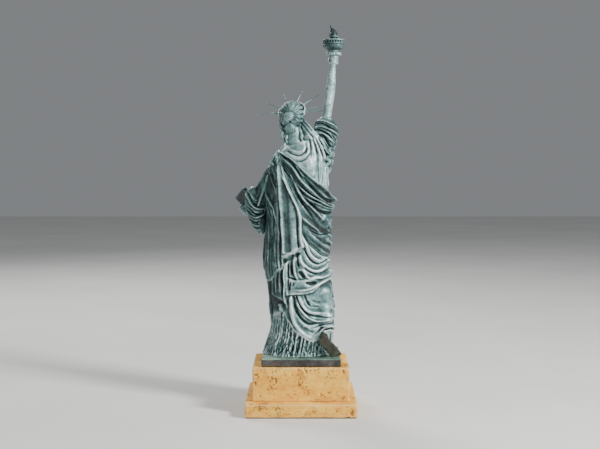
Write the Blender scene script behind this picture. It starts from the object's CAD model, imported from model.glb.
"""Patinated bronze torch bearer on a travertine base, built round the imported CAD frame.

Lengths are in millimetres until a mesh is made, and the frame's axes are the CAD's: +Z up, the figure
faces -Y, the torch is on the -X side. "Seen" points are (right, up) as they look from behind the
statue at the camera's place, in the plane through the statue's axis.
"""
import bpy
import math
import numpy as np
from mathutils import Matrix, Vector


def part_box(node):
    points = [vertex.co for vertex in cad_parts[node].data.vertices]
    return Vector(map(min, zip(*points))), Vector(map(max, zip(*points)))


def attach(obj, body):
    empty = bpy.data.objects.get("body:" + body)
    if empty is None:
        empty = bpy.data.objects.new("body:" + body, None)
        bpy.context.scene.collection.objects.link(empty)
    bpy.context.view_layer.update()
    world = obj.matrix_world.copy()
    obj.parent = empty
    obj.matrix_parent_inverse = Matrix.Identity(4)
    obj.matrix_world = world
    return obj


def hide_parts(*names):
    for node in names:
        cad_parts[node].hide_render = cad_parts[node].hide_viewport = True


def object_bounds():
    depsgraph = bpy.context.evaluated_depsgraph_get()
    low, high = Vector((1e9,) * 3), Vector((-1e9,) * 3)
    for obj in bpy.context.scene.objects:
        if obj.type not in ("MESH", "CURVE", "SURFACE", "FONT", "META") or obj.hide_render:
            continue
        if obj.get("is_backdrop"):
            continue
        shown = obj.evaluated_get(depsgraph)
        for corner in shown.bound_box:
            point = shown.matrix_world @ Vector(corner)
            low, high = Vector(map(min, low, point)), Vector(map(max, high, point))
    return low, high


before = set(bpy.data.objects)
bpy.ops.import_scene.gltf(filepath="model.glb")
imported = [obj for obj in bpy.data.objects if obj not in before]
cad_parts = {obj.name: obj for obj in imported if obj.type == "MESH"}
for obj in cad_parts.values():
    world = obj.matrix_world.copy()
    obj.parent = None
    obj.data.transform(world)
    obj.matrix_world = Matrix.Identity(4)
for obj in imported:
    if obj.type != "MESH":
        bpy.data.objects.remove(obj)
CAD_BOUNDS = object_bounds()
MM = 0.001
RNG = np.random.default_rng(7)

# Viewpoint: distance behind the axis, eye height for the "seen" points and step to the side, then the
# camera's own height, its tilt down and its field of view in degrees.
EYE_BACK, EYE_UP, EYE_SIDE = 1700.0, 398.5, 1.6
CAMERA_UP, CAMERA_TILT, CAMERA_FOV = 386.0, 3.3, 30.86

# Spacing of the body's voxels, and of the over-skirt's, which would have too many faces at that one.
VOXEL, SKIRT_VOXEL = 0.9, 1.15
# Spacing of the height maps of folds.
MAP_CELL = 0.7
# The least radial thickness of a shell of cloth, so that no crease breaks through it.
THINNEST = 3.0
# The deepest that creases may sink together, and how far a covered cloth is drawn in.
DEEPEST, TUCK = 5.5, 7.5
# A covered cloth starts to go in this far inside the upper one's edge, and takes this long to do so.
TUCK_START, TUCK_RUN = 1.4, 4.0
FAR = 1e9


# ---------------------------------------------------------------- frame measures


def node_box(name):
    """A CAD node's corners in millimetres."""
    low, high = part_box(name)
    return np.array(low) / MM, np.array(high) / MM


def node_points(names):
    """The vertices of some CAD nodes, in millimetres."""
    parts = []
    for name in names:
        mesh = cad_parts[name].data
        co = np.empty(len(mesh.vertices) * 3)
        mesh.vertices.foreach_get("co", co)
        parts.append(co.reshape(-1, 3))
    return np.concatenate(parts) / MM


def outline_of(names, low, high, levels=70, slab=2.5, blur=7.0):
    """Centre and half axes of the CAD's level sections, smoothed, as a function of height."""
    points = node_points(names)
    heights = np.linspace(low, high, levels)
    rows = []
    for z in heights:
        near = points[np.abs(points[:, 2] - z) < slab]
        x0, y0, x1, y1 = near[:, 0].min(), near[:, 1].min(), near[:, 0].max(), near[:, 1].max()
        rows.append(((x0 + x1) / 2, (y0 + y1) / 2, (x1 - x0) / 2, (y1 - y0) / 2))
    rows = np.array(rows)

    fine = np.linspace(low - 20, high + 20, 600)
    half = 30
    kernel = np.exp(-0.5 * (np.arange(-half, half + 1) * (fine[1] - fine[0]) / blur) ** 2)
    kernel /= kernel.sum()
    smooth = []
    for column in rows.T:
        padded = np.pad(np.interp(fine, heights, column), half, mode="edge")
        smooth.append(np.convolve(padded, kernel, mode="valid"))

    def at(z):
        return [np.interp(z, fine, values) for values in smooth]

    return at


# ---------------------------------------------------------------- lines and noise


def spline(points, gap=0.6):
    """Points a short gap apart on a smooth line through the given ones."""
    p = np.array(points, float)
    if len(p) == 2:
        dense = p[0] + (p[1] - p[0]) * np.linspace(0, 1, 40)[:, None]
    else:
        ends = np.vstack([2 * p[0] - p[1], p, 2 * p[-1] - p[-2]])
        t = np.linspace(0, 1, 24, endpoint=False)[:, None]
        spans = []
        for a, b, c, d in zip(ends, ends[1:], ends[2:], ends[3:]):
            square, cube = 2 * a - 5 * b + 4 * c - d, 3 * b - a - 3 * c + d
            spans.append(0.5 * (2 * b + (c - a) * t + square * t**2 + cube * t**3))
        dense = np.vstack(spans + [p[-1:]])
    run = np.concatenate([[0], np.cumsum(np.linalg.norm(np.diff(dense, axis=0), axis=1))])
    even = np.linspace(0, run[-1], max(3, int(run[-1] / gap)))
    return np.stack([np.interp(even, run, dense[:, k]) for k in range(dense.shape[1])], axis=1)


def direction(degrees):
    """Cosine and sine of an angle."""
    return math.cos(math.radians(degrees)), math.sin(math.radians(degrees))


def smooth01(t):
    """An even rise from 0 to 1."""
    t = np.clip(t, 0, 1)
    return t * t * (3 - 2 * t)


def cloud(shape, cell, scale, seed):
    """Smooth random lumps from -1 to 1 over a map."""
    rng = np.random.default_rng(seed)
    rows, columns = int(shape[0] * cell / scale) + 3, int(shape[1] * cell / scale) + 3
    knots = rng.uniform(-1, 1, (rows, columns))
    r = np.arange(shape[0]) * cell / scale
    c = np.arange(shape[1]) * cell / scale
    r0, c0 = r.astype(int), c.astype(int)
    fr, fc = smooth01(r - r0)[:, None], smooth01(c - c0)[None, :]
    a, b = knots[np.ix_(r0, c0)], knots[np.ix_(r0, c0 + 1)]
    d, e = knots[np.ix_(r0 + 1, c0)], knots[np.ix_(r0 + 1, c0 + 1)]
    return (a * (1 - fc) + b * fc) * (1 - fr) + (d * (1 - fc) + e * fc) * fr


def solid_cloud(axes, scale, seed):
    """Smooth random lumps from -1 to 1 over a box of voxels."""
    rng = np.random.default_rng(seed)
    places = [(axis - axis[0]) / scale for axis in axes]
    knots = rng.uniform(-1, 1, [int(p[-1]) + 2 for p in places]).astype(np.float32)
    out = knots
    for k, p in enumerate(places):
        cell = p.astype(int)
        part = smooth01(p - cell).astype(np.float32).reshape([-1 if m == k else 1 for m in range(3)])
        out = np.take(out, cell, axis=k) * (1 - part) + np.take(out, cell + 1, axis=k) * part
    return out


class Local:
    """A place with its own axes: x, then z as near as it can be to the one asked for."""

    def __init__(self, origin, x_axis, z_axis):
        x, z = np.array(x_axis, float), np.array(z_axis, float)
        x /= np.linalg.norm(x)
        z -= x * (x @ z)
        z /= np.linalg.norm(z)
        self.origin = np.array(origin, float)
        self.turn = np.stack([x, np.cross(z, x), z], axis=1)

    def at(self, points):
        return self.origin + np.array(points, float) @ self.turn.T


# ---------------------------------------------------------------- cloth maps


class Drape:
    """A stack of level ellipses with a height map of folds wrapped round it.

    The map's places are (s, z): the length round from the back towards +X on a ring of one radius, and
    the height.
    """

    MARGIN = 12.0  # how far from an outline its distance is still told

    def __init__(self, outline, low, high, radius):
        self.outline = outline
        self.radius = radius
        self.ring = 2 * math.pi * radius
        self.z = np.arange(low, high + MAP_CELL, MAP_CELL)
        self.s = np.arange(-self.ring / 2, self.ring / 2, MAP_CELL)
        self.height = np.zeros((len(self.z), len(self.s)), np.float32)

    def seen(self, points):
        """Map places of points seen from the camera."""
        p = np.array(points, float)
        y = np.full(len(p), 30.0)
        for _ in range(6):
            near = (EYE_BACK - y) / EYE_BACK
            x, z = -p[:, 0] * near, EYE_UP + (p[:, 1] - EYE_UP) * near
            cx, cy, a, b = self.outline(z)
            q = np.clip((x - cx) / a, -0.999, 0.999)
            y = cy + b * np.sqrt(1 - q * q)
        return np.stack([np.arcsin(q) * self.radius, z], axis=1)

    def front(self, points):
        """Map places of points (x, z) seen squarely from the front."""
        p = np.array(points, float)
        cx, cy, a, b = self.outline(p[:, 1])
        q = np.clip((p[:, 0] - cx) / a, -0.999, 0.999)
        angle = np.unwrap(np.arctan2(q, -np.sqrt(1 - q * q)))
        return np.stack([angle * self.radius, p[:, 1]], axis=1)

    def around(self, points):
        """Map places of points (degrees round from the back towards +X, z)."""
        p = np.array(points, float)
        return np.stack([np.radians(p[:, 0]) * self.radius, p[:, 1]], axis=1)

    def windows(self, line, pad):
        """The parts of the map that a line reaches, once for each turn of the ring."""
        for turn in (-self.ring, 0.0, self.ring):
            moved = line + np.array([turn, 0.0])
            s0, s1 = moved[:, 0].min() - pad, moved[:, 0].max() + pad
            z0, z1 = moved[:, 1].min() - pad, moved[:, 1].max() + pad
            i = np.searchsorted(self.z, [z0, z1])
            j = np.searchsorted(self.s, [s0, s1])
            if i[0] < i[1] and j[0] < j[1]:
                yield moved, slice(*i), slice(*j)

    def nearest(self, line, i, j, reach):
        """Distance from each map cell in a window to a line, and how far along it the foot lies."""
        z, s = self.z[i], self.s[j]
        best = np.full((len(z), len(s)), FAR)
        along = np.zeros_like(best)
        block = 16
        for start in range(0, len(line), block):
            part = line[start:start + block + 1]
            r = np.searchsorted(z, [part[:, 1].min() - reach, part[:, 1].max() + reach])
            c = np.searchsorted(s, [part[:, 0].min() - reach, part[:, 0].max() + reach])
            if r[0] >= r[1] or c[0] >= c[1]:
                continue
            zz, ss = z[r[0]:r[1]], s[c[0]:c[1]]
            d = (ss[None, :, None] - part[:, 0]) ** 2 + (zz[:, None, None] - part[:, 1]) ** 2
            k = d.argmin(axis=2)
            d = d.min(axis=2)
            old = best[r[0]:r[1], c[0]:c[1]]
            closer = d < old
            old[closer] = d[closer]
            along[r[0]:r[1], c[0]:c[1]][closer] = (start + k[closer]) / (len(line) - 1)
        return np.sqrt(best), along

    def fold(self, places, width, height, taper=(0.25, 0.25), power=2.0):
        """Raises a fold, or sinks a crease where the height is negative, along a line."""
        line = spline(places)
        w0, w1 = width if isinstance(width, tuple) else (width, width)
        half = 1.2 * max(w0, w1) / 2
        sway = RNG.uniform(-1, 1, 2 + len(line) // 20)
        for moved, i, j in self.windows(line, half + 1):
            d, t = self.nearest(moved, i, j, half + 1)
            ease = smooth01(t / taper[0] * 0.9 + 0.1) * smooth01((1 - t) / taper[1] * 0.9 + 0.1)
            waver = np.interp(t, np.linspace(0, 1, len(sway)), sway)
            reach = (w0 + (w1 - w0) * t) / 2 * (0.55 + 0.45 * ease) * (1 + 0.16 * waver)
            bump = np.clip(1 - (d / reach) ** 2, 0, 1) ** power
            self.height[i, j] += height * ease * (1 + 0.24 * waver) * bump

    def crease(self, places, width, depth, taper=(0.25, 0.25)):
        """Sinks a narrow crease along a line."""
        self.fold(places, width, -depth, taper, power=2.6)

    def edge_distance(self, places, i, j):
        """Signed distance from map cells to a closed outline, negative inside it."""
        reach = self.MARGIN
        closed = np.vstack([places, places[:1]])
        line = np.vstack([spline(closed[k:k + 2], 0.7) for k in range(len(places))])
        d, _ = self.nearest(line, i, j, reach)
        zz, ss = self.z[i][:, None], self.s[j][None, :]
        inside = np.zeros(d.shape, bool)
        for (sa, za), (sb, zb) in zip(closed[:-1], closed[1:]):
            if za != zb:
                crossing = (zz > min(za, zb)) & (zz <= max(za, zb))
                inside ^= crossing & (ss < sa + (zz - za) * (sb - sa) / (zb - za))
        return np.where(inside, -np.minimum(d, reach), np.minimum(d, reach))

    def layer(self, places, height, soft=1.6):
        """Raises everything inside an outline by a step."""
        for moved, i, j in self.windows(places, soft + 1):
            d = self.edge_distance(moved, i, j)
            self.height[i, j] += height * smooth01(0.5 - d / soft)

    def cut(self, places):
        """A map of signed distance to an outline, for trimming a piece to it."""
        out = np.full(self.height.shape, self.MARGIN, np.float32)
        for moved, i, j in self.windows(places, self.MARGIN):
            out[i, j] = np.minimum(out[i, j], self.edge_distance(moved, i, j))
        return out

    def lumps(self, scale, amount, seed):
        """Adds smooth random unevenness."""
        self.height += amount * cloud(self.height.shape, MAP_CELL, scale, seed)

    def settle(self, deepest):
        """Keeps crossing creases from adding up to more than a depth."""
        sunk = np.minimum(self.height, 0)
        self.height += -sunk - deepest * np.tanh(-sunk / deepest)

    def row(self, table, z):
        """One level of a map of this cloth."""
        k = np.clip((z - self.z[0]) / MAP_CELL, 0, len(self.z) - 1.001)
        low = int(k)
        return table[low] * (1 - (k - low)) + table[low + 1] * (k - low)


# ---------------------------------------------------------------- voxels to mesh


def smin(a, b, k):
    """The smaller of two distances, with the corner between them rounded over k."""
    h = np.clip(0.5 + 0.5 * (b - a) / k, 0, 1)
    return b * (1 - h) + a * h - k * h * (1 - h)


def smax(a, b, k):
    """The larger of two distances, rounded in the same way."""
    return -smin(-a, -b, k)


class Field:
    """A box of voxels that holds distances to a surface, negative inside."""

    def __init__(self, low, high, step=VOXEL):
        self.low = np.array(low, float) - 2 * step
        self.step = step
        counts = np.ceil((np.array(high, float) + 2 * step - self.low) / step).astype(int) + 1
        self.axes = [self.low[k] + step * np.arange(counts[k]) for k in range(3)]
        self.f = np.full(counts, 9.0, np.float32)

    def near(self, low, high):
        """The slices and the coordinates of the voxels between two corners."""
        slices, axes = [], []
        for k in range(3):
            i = np.searchsorted(self.axes[k], [low[k], high[k]])
            slices.append(slice(*i))
            axes.append(self.axes[k][i[0]:i[1]].astype(np.float32))
        x, y, z = axes
        return tuple(slices), x[:, None, None], y[None, :, None], z[None, None, :]

    def blend(self, low, high, shape, k, cut=False):
        """Joins a shape to the field, or cuts it out, with a soft seam."""
        pad = 3 + 1.5 * k
        where, x, y, z = self.near(np.array(low) - pad, np.array(high) + pad)
        if self.f[where].size:
            d = shape(x, y, z)
            old = self.f[where]
            self.f[where] = smax(old, -d, k) if cut else smin(old, d, k)

    def ball(self, centre, radii, k=1.0, cut=False, turn=None):
        """An ellipsoid; turn is a 3 by 3 rotation of its axes."""
        c, r = np.array(centre, float), np.array(radii, float) * np.ones(3)
        reach = r.max() if turn is not None else r

        def shape(x, y, z):
            p = [x - c[0], y - c[1], z - c[2]]
            if turn is not None:
                p = [turn[0][m] * p[0] + turn[1][m] * p[1] + turn[2][m] * p[2] for m in range(3)]
            q = np.sqrt(sum((p[m] / r[m]) ** 2 for m in range(3))) + 1e-6
            grad = np.sqrt(sum((p[m] / r[m] ** 2) ** 2 for m in range(3))) / q + 1e-6
            return (q - 1) / grad

        self.blend(c - reach, c + reach, shape, k, cut)

    def rod(self, a, b, ra, rb=None, k=1.0, cut=False):
        """A round rod with ball ends and a taper."""
        a, b = np.array(a, float), np.array(b, float)
        rb = ra if rb is None else rb
        v = b - a
        vv = max(float(v @ v), 1e-9)

        def shape(x, y, z):
            t = np.clip(((x - a[0]) * v[0] + (y - a[1]) * v[1] + (z - a[2]) * v[2]) / vv, 0, 1)
            dx, dy, dz = x - a[0] - v[0] * t, y - a[1] - v[1] * t, z - a[2] - v[2] * t
            return np.sqrt(dx * dx + dy * dy + dz * dz) - (ra + (rb - ra) * t)

        r = max(ra, rb)
        self.blend(np.minimum(a, b) - r, np.maximum(a, b) + r, shape, k, cut)

    def tube(self, points, radii, k=1.0, cut=False, gap=1.4):
        """A tapered tube along a smooth line."""
        line = spline(points, gap)
        r = np.interp(np.linspace(0, 1, len(line)), np.linspace(0, 1, len(radii)), radii)
        for m in range(len(line) - 1):
            self.rod(line[m], line[m + 1], r[m], r[m + 1], k=k, cut=cut)

    def box(self, centre, half, turn, edge=0.8, k=0.6, cut=False):
        """A box with rounded edges; the columns of turn are its axes."""
        c, h = np.array(centre, float), np.array(half, float) - edge

        def shape(x, y, z):
            p = [x - c[0], y - c[1], z - c[2]]
            local = [turn[0][m] * p[0] + turn[1][m] * p[1] + turn[2][m] * p[2] for m in range(3)]
            q = [np.abs(local[m]) - h[m] for m in range(3)]
            out = np.sqrt(sum(np.maximum(v, 0) ** 2 for v in q))
            return out + np.minimum(np.maximum(q[0], np.maximum(q[1], q[2])), 0) - edge

        reach = np.abs(turn) @ np.array(half, float)
        self.blend(c - reach, c + reach, shape, k, cut)

    def drape(self, cloth, lift=0.0, depth=None, cut=None, low=None, high=None, rim=1.2):
        """Fills in a draped solid, or a shell of it where a depth is given."""
        x, y = self.axes[0][:, None], self.axes[1][None, :]
        bottom = cloth.z[0] if low is None else low
        top = cloth.z[-1] if high is None else high
        for k, z in enumerate(self.axes[2]):
            if z < bottom - 3 or z > top + 3:
                continue
            cx, cy, a, b = cloth.outline(z)
            px, py = (x - cx) / a, (y - cy) / b
            q = np.sqrt(px * px + py * py) + 1e-6
            grad = np.sqrt((px / a) ** 2 + (py / b) ** 2) / q + 1e-6
            d = (q - 1) / grad
            s = np.arctan2(px, py) * cloth.radius
            h = np.interp(s, cloth.s, cloth.row(cloth.height, z), period=cloth.ring)
            f = d - lift - h
            if depth is not None:
                f = smax(f, np.minimum(lift - depth, lift + h - THINNEST) - d, 0.5)
            if cut is not None:
                f = smax(f, np.interp(s, cloth.s, cloth.row(cut, z), period=cloth.ring), rim)
            f = smax(smax(f, bottom - z, rim), z - top, rim)
            self.f[:, :, k] = np.minimum(self.f[:, :, k], f)

    def turned(self, x0, y0, profile, k=0.4):
        """A solid turned round an upright axis; profile holds (radius, z) corners."""
        corners = np.array(profile, float)
        reach = corners[:, 0].max()

        def shape(x, y, z):
            r = np.sqrt((x - x0) ** 2 + (y - y0) ** 2)
            best = np.full(np.broadcast(r, z).shape, FAR)
            inside = np.zeros(best.shape, bool)
            for (ra, za), (rb, zb) in zip(corners, np.roll(corners, -1, axis=0)):
                length = max((rb - ra) ** 2 + (zb - za) ** 2, 1e-9)
                t = np.clip(((r - ra) * (rb - ra) + (z - za) * (zb - za)) / length, 0, 1)
                best = np.minimum(best, (r - ra - (rb - ra) * t) ** 2 + (z - za - (zb - za) * t) ** 2)
                if za != zb:
                    crossing = (z > min(za, zb)) & (z <= max(za, zb))
                    inside ^= crossing & (r < ra + (z - za) * (rb - ra) / (zb - za))
            return np.where(inside, -1, 1) * np.sqrt(best)

        low, high = corners[:, 1].min(), corners[:, 1].max()
        self.blend((x0 - reach, y0 - reach, low), (x0 + reach, y0 + reach, high), shape, k)

    def meet(self, points, front=False):
        """Where the lines of sight through seen points, or square ones from the front, meet the surface."""

        def nearest(axis, values):
            cells = np.round((values - self.axes[axis][0]) / self.step).astype(int)
            return np.clip(cells, 0, len(self.axes[axis]) - 1)

        found = []
        order = np.arange(len(self.axes[1]))
        if not front:
            order = order[::-1]
        y = self.axes[1][order]
        for u, up in points:
            if front:
                x, z = np.full(len(y), float(u)), np.full(len(y), float(up))
            else:
                near = (EYE_BACK - y) / EYE_BACK
                x, z = -u * near, EYE_UP + (up - EYE_UP) * near
            inside = self.f[nearest(0, x), order, nearest(2, z)] < 0
            if inside.any():
                m = int(inside.argmax())
                found.append((x[m], y[m], z[m]))
        return np.array(found)

    def stroke(self, points, radius, sunk, k, front=False):
        """Lays a ridge on the surface along a seen line, or a groove where the radius is negative.

        sunk is how deep the ridge's axis lies, or how far out the groove's, as a share of the radius.
        """
        path = self.meet(spline(points, 2.0), front)
        if len(path) > 2:
            path[1:-1] = (path[:-2] + path[1:-1] + path[2:]) / 3
            depth = sunk * radius
            inward = np.array([0, depth if front else -depth, 0])
            r = abs(radius)
            self.tube(path + inward, [0.25 * r, 0.8 * r, r, r, 0.8 * r, 0.25 * r], k=k, cut=radius < 0)

    def strokes(self, rows, sunk, k, front=False):
        """Lays ridges and grooves from (line, radius) rows."""
        for line, radius in rows:
            self.stroke(line, radius, sunk, k, front)

    def roughen(self, scale, amount, seed):
        """Moves the surface by smooth random lumps."""
        self.f += amount * solid_cloud(self.axes, scale, seed)

    def mesh(self):
        """Vertices and four-sided faces of the surface where the field is zero."""
        f = self.f
        inside = f < 0
        shape = np.array(f.shape) - 1
        found, corners, flips = [], [], []
        for axis in range(3):
            a = [slice(None)] * 3
            b = [slice(None)] * 3
            a[axis], b[axis] = slice(None, -1), slice(1, None)
            a, b = tuple(a), tuple(b)
            hit = inside[a] != inside[b]
            u, v = (axis + 1) % 3, (axis + 2) % 3
            for m in (u, v):
                edge = [slice(None)] * 3
                edge[m] = slice(0, 1)
                hit[tuple(edge)] = False
                edge[m] = slice(-1, None)
                hit[tuple(edge)] = False
            at = np.argwhere(hit)
            f0, f1 = f[a][hit], f[b][hit]
            point = at.astype(np.float64)
            point[:, axis] += f0 / (f0 - f1)
            found.append(point)
            cells = []
            for du, dv in ((0, 0), (1, 0), (1, 1), (0, 1)):
                cell = at.copy()
                cell[:, u] -= 1 - du
                cell[:, v] -= 1 - dv
                cells.append((cell[:, 0] * shape[1] + cell[:, 1]) * shape[2] + cell[:, 2])
            corners.append(np.stack(cells, axis=1))
            flips.append(~inside[a][hit])
        found, corners, flips = np.concatenate(found), np.concatenate(corners), np.concatenate(flips)
        used = np.zeros(int(shape.prod()), np.int32)
        used[corners.ravel()] = 1
        index = np.cumsum(used) - 1
        quads = index[corners]
        count = np.bincount(quads.ravel(), minlength=index[-1] + 1)
        verts = np.stack(
            [np.bincount(quads.ravel(), np.repeat(found[:, k], 4)) / count for k in range(3)], axis=1
        )
        quads[flips] = quads[flips][:, ::-1]
        return verts * self.step + self.low, quads


def ridge_measure(verts, edges, normals, rounds):
    """How far each vertex stands above its smoothed surroundings."""
    a, b = edges[:, 0], edges[:, 1]
    n = len(verts)
    degree = np.maximum(np.bincount(a, minlength=n) + np.bincount(b, minlength=n), 1)
    p = verts.copy()
    for _ in range(rounds):
        total = np.stack(
            [np.bincount(a, p[b, k], n) + np.bincount(b, p[a, k], n) for k in range(3)], axis=1
        )
        p = 0.4 * p + 0.6 * total / degree[:, None]
    return ((verts - p) * normals).sum(axis=1)


def store_relief(mesh):
    """Stores how far the surface stands out, over a short and a long distance, for the materials."""
    verts, normals = np.empty(len(mesh.vertices) * 3), np.empty(len(mesh.vertices) * 3)
    mesh.vertices.foreach_get("co", verts)
    mesh.vertices.foreach_get("normal", normals)
    verts, normals = verts.reshape(-1, 3) / MM, normals.reshape(-1, 3)
    edges = np.empty(len(mesh.edges) * 2, np.int32)
    mesh.edges.foreach_get("vertices", edges)
    edges = edges.reshape(-1, 2)
    for label, rounds, scale in (("ridge_fine", 6, 0.25), ("ridge_broad", 50, 1.3)):
        values = ridge_measure(verts, edges, normals, rounds)
        layer = mesh.attributes.new(label, "FLOAT", "POINT")
        layer.data.foreach_set("value", np.tanh(values / scale).astype(np.float32))


def make_piece(name, verts, faces, material, slot="patina_bronze", replaces=()):
    """A piece of the object in metres, from vertices in millimetres and equal-sided faces."""
    mesh = bpy.data.meshes.new(name)
    mesh.from_pydata([], [], [])
    faces = np.asarray(faces)
    mesh.vertices.add(len(verts))
    mesh.vertices.foreach_set("co", (np.asarray(verts) * MM).ravel())
    mesh.loops.add(faces.size)
    mesh.loops.foreach_set("vertex_index", faces.ravel().astype(np.int32))
    mesh.polygons.add(len(faces))
    mesh.polygons.foreach_set("loop_start", np.arange(len(faces)) * faces.shape[1])
    mesh.polygons.foreach_set("loop_total", np.full(len(faces), faces.shape[1]))
    mesh.update(calc_edges=True)
    mesh.validate()
    mesh.polygons.foreach_set("use_smooth", np.ones(len(mesh.polygons), bool))
    store_relief(mesh)
    obj = bpy.data.objects.new(name, mesh)
    bpy.context.collection.objects.link(obj)
    mesh.materials.append(material)
    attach(obj, "root")
    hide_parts(*replaces)


def field_piece(name, field, material, **extra):
    """A piece from the surface of a field."""
    verts, faces = field.mesh()
    make_piece(name, verts, faces, material, **extra)


# ---------------------------------------------------------------- materials


def rgb(r, g, b):
    """A linear colour from 0-255 display values."""
    out = []
    for v in (r, g, b):
        v = v / 255
        out.append(v / 12.92 if v <= 0.04045 else ((v + 0.055) / 1.055) ** 2.4)
    return (*out, 1.0)


class Graph:
    """Short names for building a material's nodes."""

    def __init__(self, name):
        self.material = bpy.data.materials.new(name)
        self.material.use_nodes = True
        self.tree = self.material.node_tree
        self.shader = self.tree.nodes["Principled BSDF"]
        self.coords = self.tree.nodes.new("ShaderNodeTexCoord").outputs["Object"]

    def node(self, kind, settings=None, **inputs):
        """A new node with its settings and inputs."""
        node = self.tree.nodes.new(kind)
        for key, value in (settings or {}).items():
            setattr(node, key, value)
        for key, value in inputs.items():
            self.feed(node.inputs[key.replace("_", " ")], value)
        return node

    def feed(self, socket, value):
        """Links an output to a socket, or sets a plain value on it."""
        if isinstance(value, bpy.types.NodeSocket):
            self.tree.links.new(value, socket)
        else:
            socket.default_value = value

    def attribute(self, name):
        """A stored measure of the mesh."""
        return self.node("ShaderNodeAttribute", {"attribute_name": name}).outputs["Fac"]

    def stretch(self, x, y, z):
        """The object's coordinates, scaled."""
        node = self.node("ShaderNodeMapping")
        self.feed(node.inputs["Vector"], self.coords)
        node.inputs["Scale"].default_value = (x, y, z)
        return node.outputs["Vector"]

    def noise(self, scale, detail=4.0, roughness=0.55, distortion=0.0, vector=None):
        """Noise through the object, from 0 to 1."""
        return self.node(
            "ShaderNodeTexNoise", Vector=vector or self.coords, Scale=scale, Detail=detail,
            Roughness=roughness, Distortion=distortion,
        ).outputs["Fac"]

    def math(self, operation, a, b):
        """One step of arithmetic."""
        node = self.node("ShaderNodeMath", {"operation": operation})
        self.feed(node.inputs[0], a)
        self.feed(node.inputs[1], b)
        return node.outputs[0]

    def spread(self, value, low, high, out_low=0.0, out_high=1.0):
        """Maps a range of values to another, and holds them inside it."""
        node = self.node(
            "ShaderNodeMapRange", Value=value, From_Min=low, From_Max=high, To_Min=out_low, To_Max=out_high,
        )
        return node.outputs[0]

    def blend(self, a, b, share):
        """Two values added together, with the first one's share of the whole."""
        rest = self.math("MULTIPLY", b, round(1 - share, 3))
        return self.math("ADD", self.math("MULTIPLY", a, share), rest)

    def ramp(self, factor, stops):
        """Colours between (place, colour) stops."""
        node = self.node("ShaderNodeValToRGB")
        self.feed(node.inputs["Fac"], factor)
        elements = node.color_ramp.elements
        while len(elements) < len(stops):
            elements.new(0.5)
        for element, (place, colour) in zip(elements, stops):
            element.position = place
            element.color = colour
        return node.outputs["Color"]

    def mix(self, factor, a, b):
        """One colour that gives way to another."""
        node = self.node("ShaderNodeMix", {"data_type": "RGBA"})
        self.feed(node.inputs[0], factor)
        self.feed(node.inputs[6], a)
        self.feed(node.inputs[7], b)
        return node.outputs[2]

    def bump(self, height, distance, strength=1.0, normal=None):
        """Fine relief, a distance in metres deep, on top of another normal."""
        node = self.node("ShaderNodeBump", Height=height, Distance=distance, Strength=strength)
        if normal is not None:
            self.feed(node.inputs["Normal"], normal)
        return node.outputs["Normal"]

    def finish(self, colour, roughness, normal=None, **fixed):
        """Connects the shader and gives the finished material."""
        self.feed(self.shader.inputs["Base Color"], colour)
        self.feed(self.shader.inputs["Roughness"], roughness)
        if normal is not None:
            self.feed(self.shader.inputs["Normal"], normal)
        for key, value in fixed.items():
            self.shader.inputs[key.replace("_", " ")].default_value = value
        return self.material


def patina(name, tone=0.0, green=0.3, brown=0.3, sheltered=0.0):
    """Cast bronze: pale blue-grey on the raised parts, near black in the hollows.

    tone is the whole piece's lightness, green the share of verdigris, brown that of bare warm patches, and
    sheltered how much darker it gets on its +X side, under the tablet arm.
    """
    g = Graph(name)
    broad, fine = g.attribute("ridge_broad"), g.attribute("ridge_fine")
    cast = g.noise(55.0, 5.0, 0.6)
    mottle = g.noise(260.0, 4.0, 0.6)
    grain = g.noise(1500.0, 2.0, 0.6)
    # How pale it is: the relief first, then two sizes of spots.
    level = g.math("MULTIPLY", broad, 0.34)
    level = g.math("ADD", level, g.math("MULTIPLY", fine, 0.07))
    for spots, share in ((cast, 0.50), (mottle, 0.36)):
        level = g.math("ADD", level, g.math("MULTIPLY", g.math("SUBTRACT", spots, 0.5), share))
    level = g.math("ADD", level, 0.54 + tone)
    if sheltered:
        side = g.node("ShaderNodeSeparateXYZ", Vector=g.coords).outputs["X"]
        level = g.math("SUBTRACT", level, g.spread(side, 0.022, 0.046, 0.0, sheltered))
    colour = g.ramp(level, [
        (0.14, rgb(9, 16, 17)), (0.32, rgb(26, 43, 45)), (0.50, rgb(66, 96, 97)),
        (0.67, rgb(132, 164, 163)), (0.87, rgb(218, 232, 230)),
    ])
    verdigris = g.spread(g.noise(32.0, 4.0, 0.6, 0.6), 0.52, 0.68, 0.0, green)
    colour = g.mix(verdigris, colour, rgb(96, 148, 136))
    warm = g.spread(g.noise(41.0, 5.0, 0.62, 0.8), 0.60, 0.70, 0.0, brown)
    colour = g.mix(warm, colour, rgb(104, 96, 88))
    dust = g.spread(grain, 0.62, 0.75, 0.0, 0.35)
    colour = g.mix(dust, colour, rgb(186, 204, 196))
    roughness = g.spread(g.math("ADD", mottle, broad), 0.0, 1.4, 0.62, 0.40)
    normal = g.bump(g.noise(700.0, 3.0, 0.6), 0.00025, 0.6)
    normal = g.bump(mottle, 0.0007, 0.6, normal)
    return g.finish(colour, roughness, normal, Metallic=0.35, Specular_IOR_Level=0.55)


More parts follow.
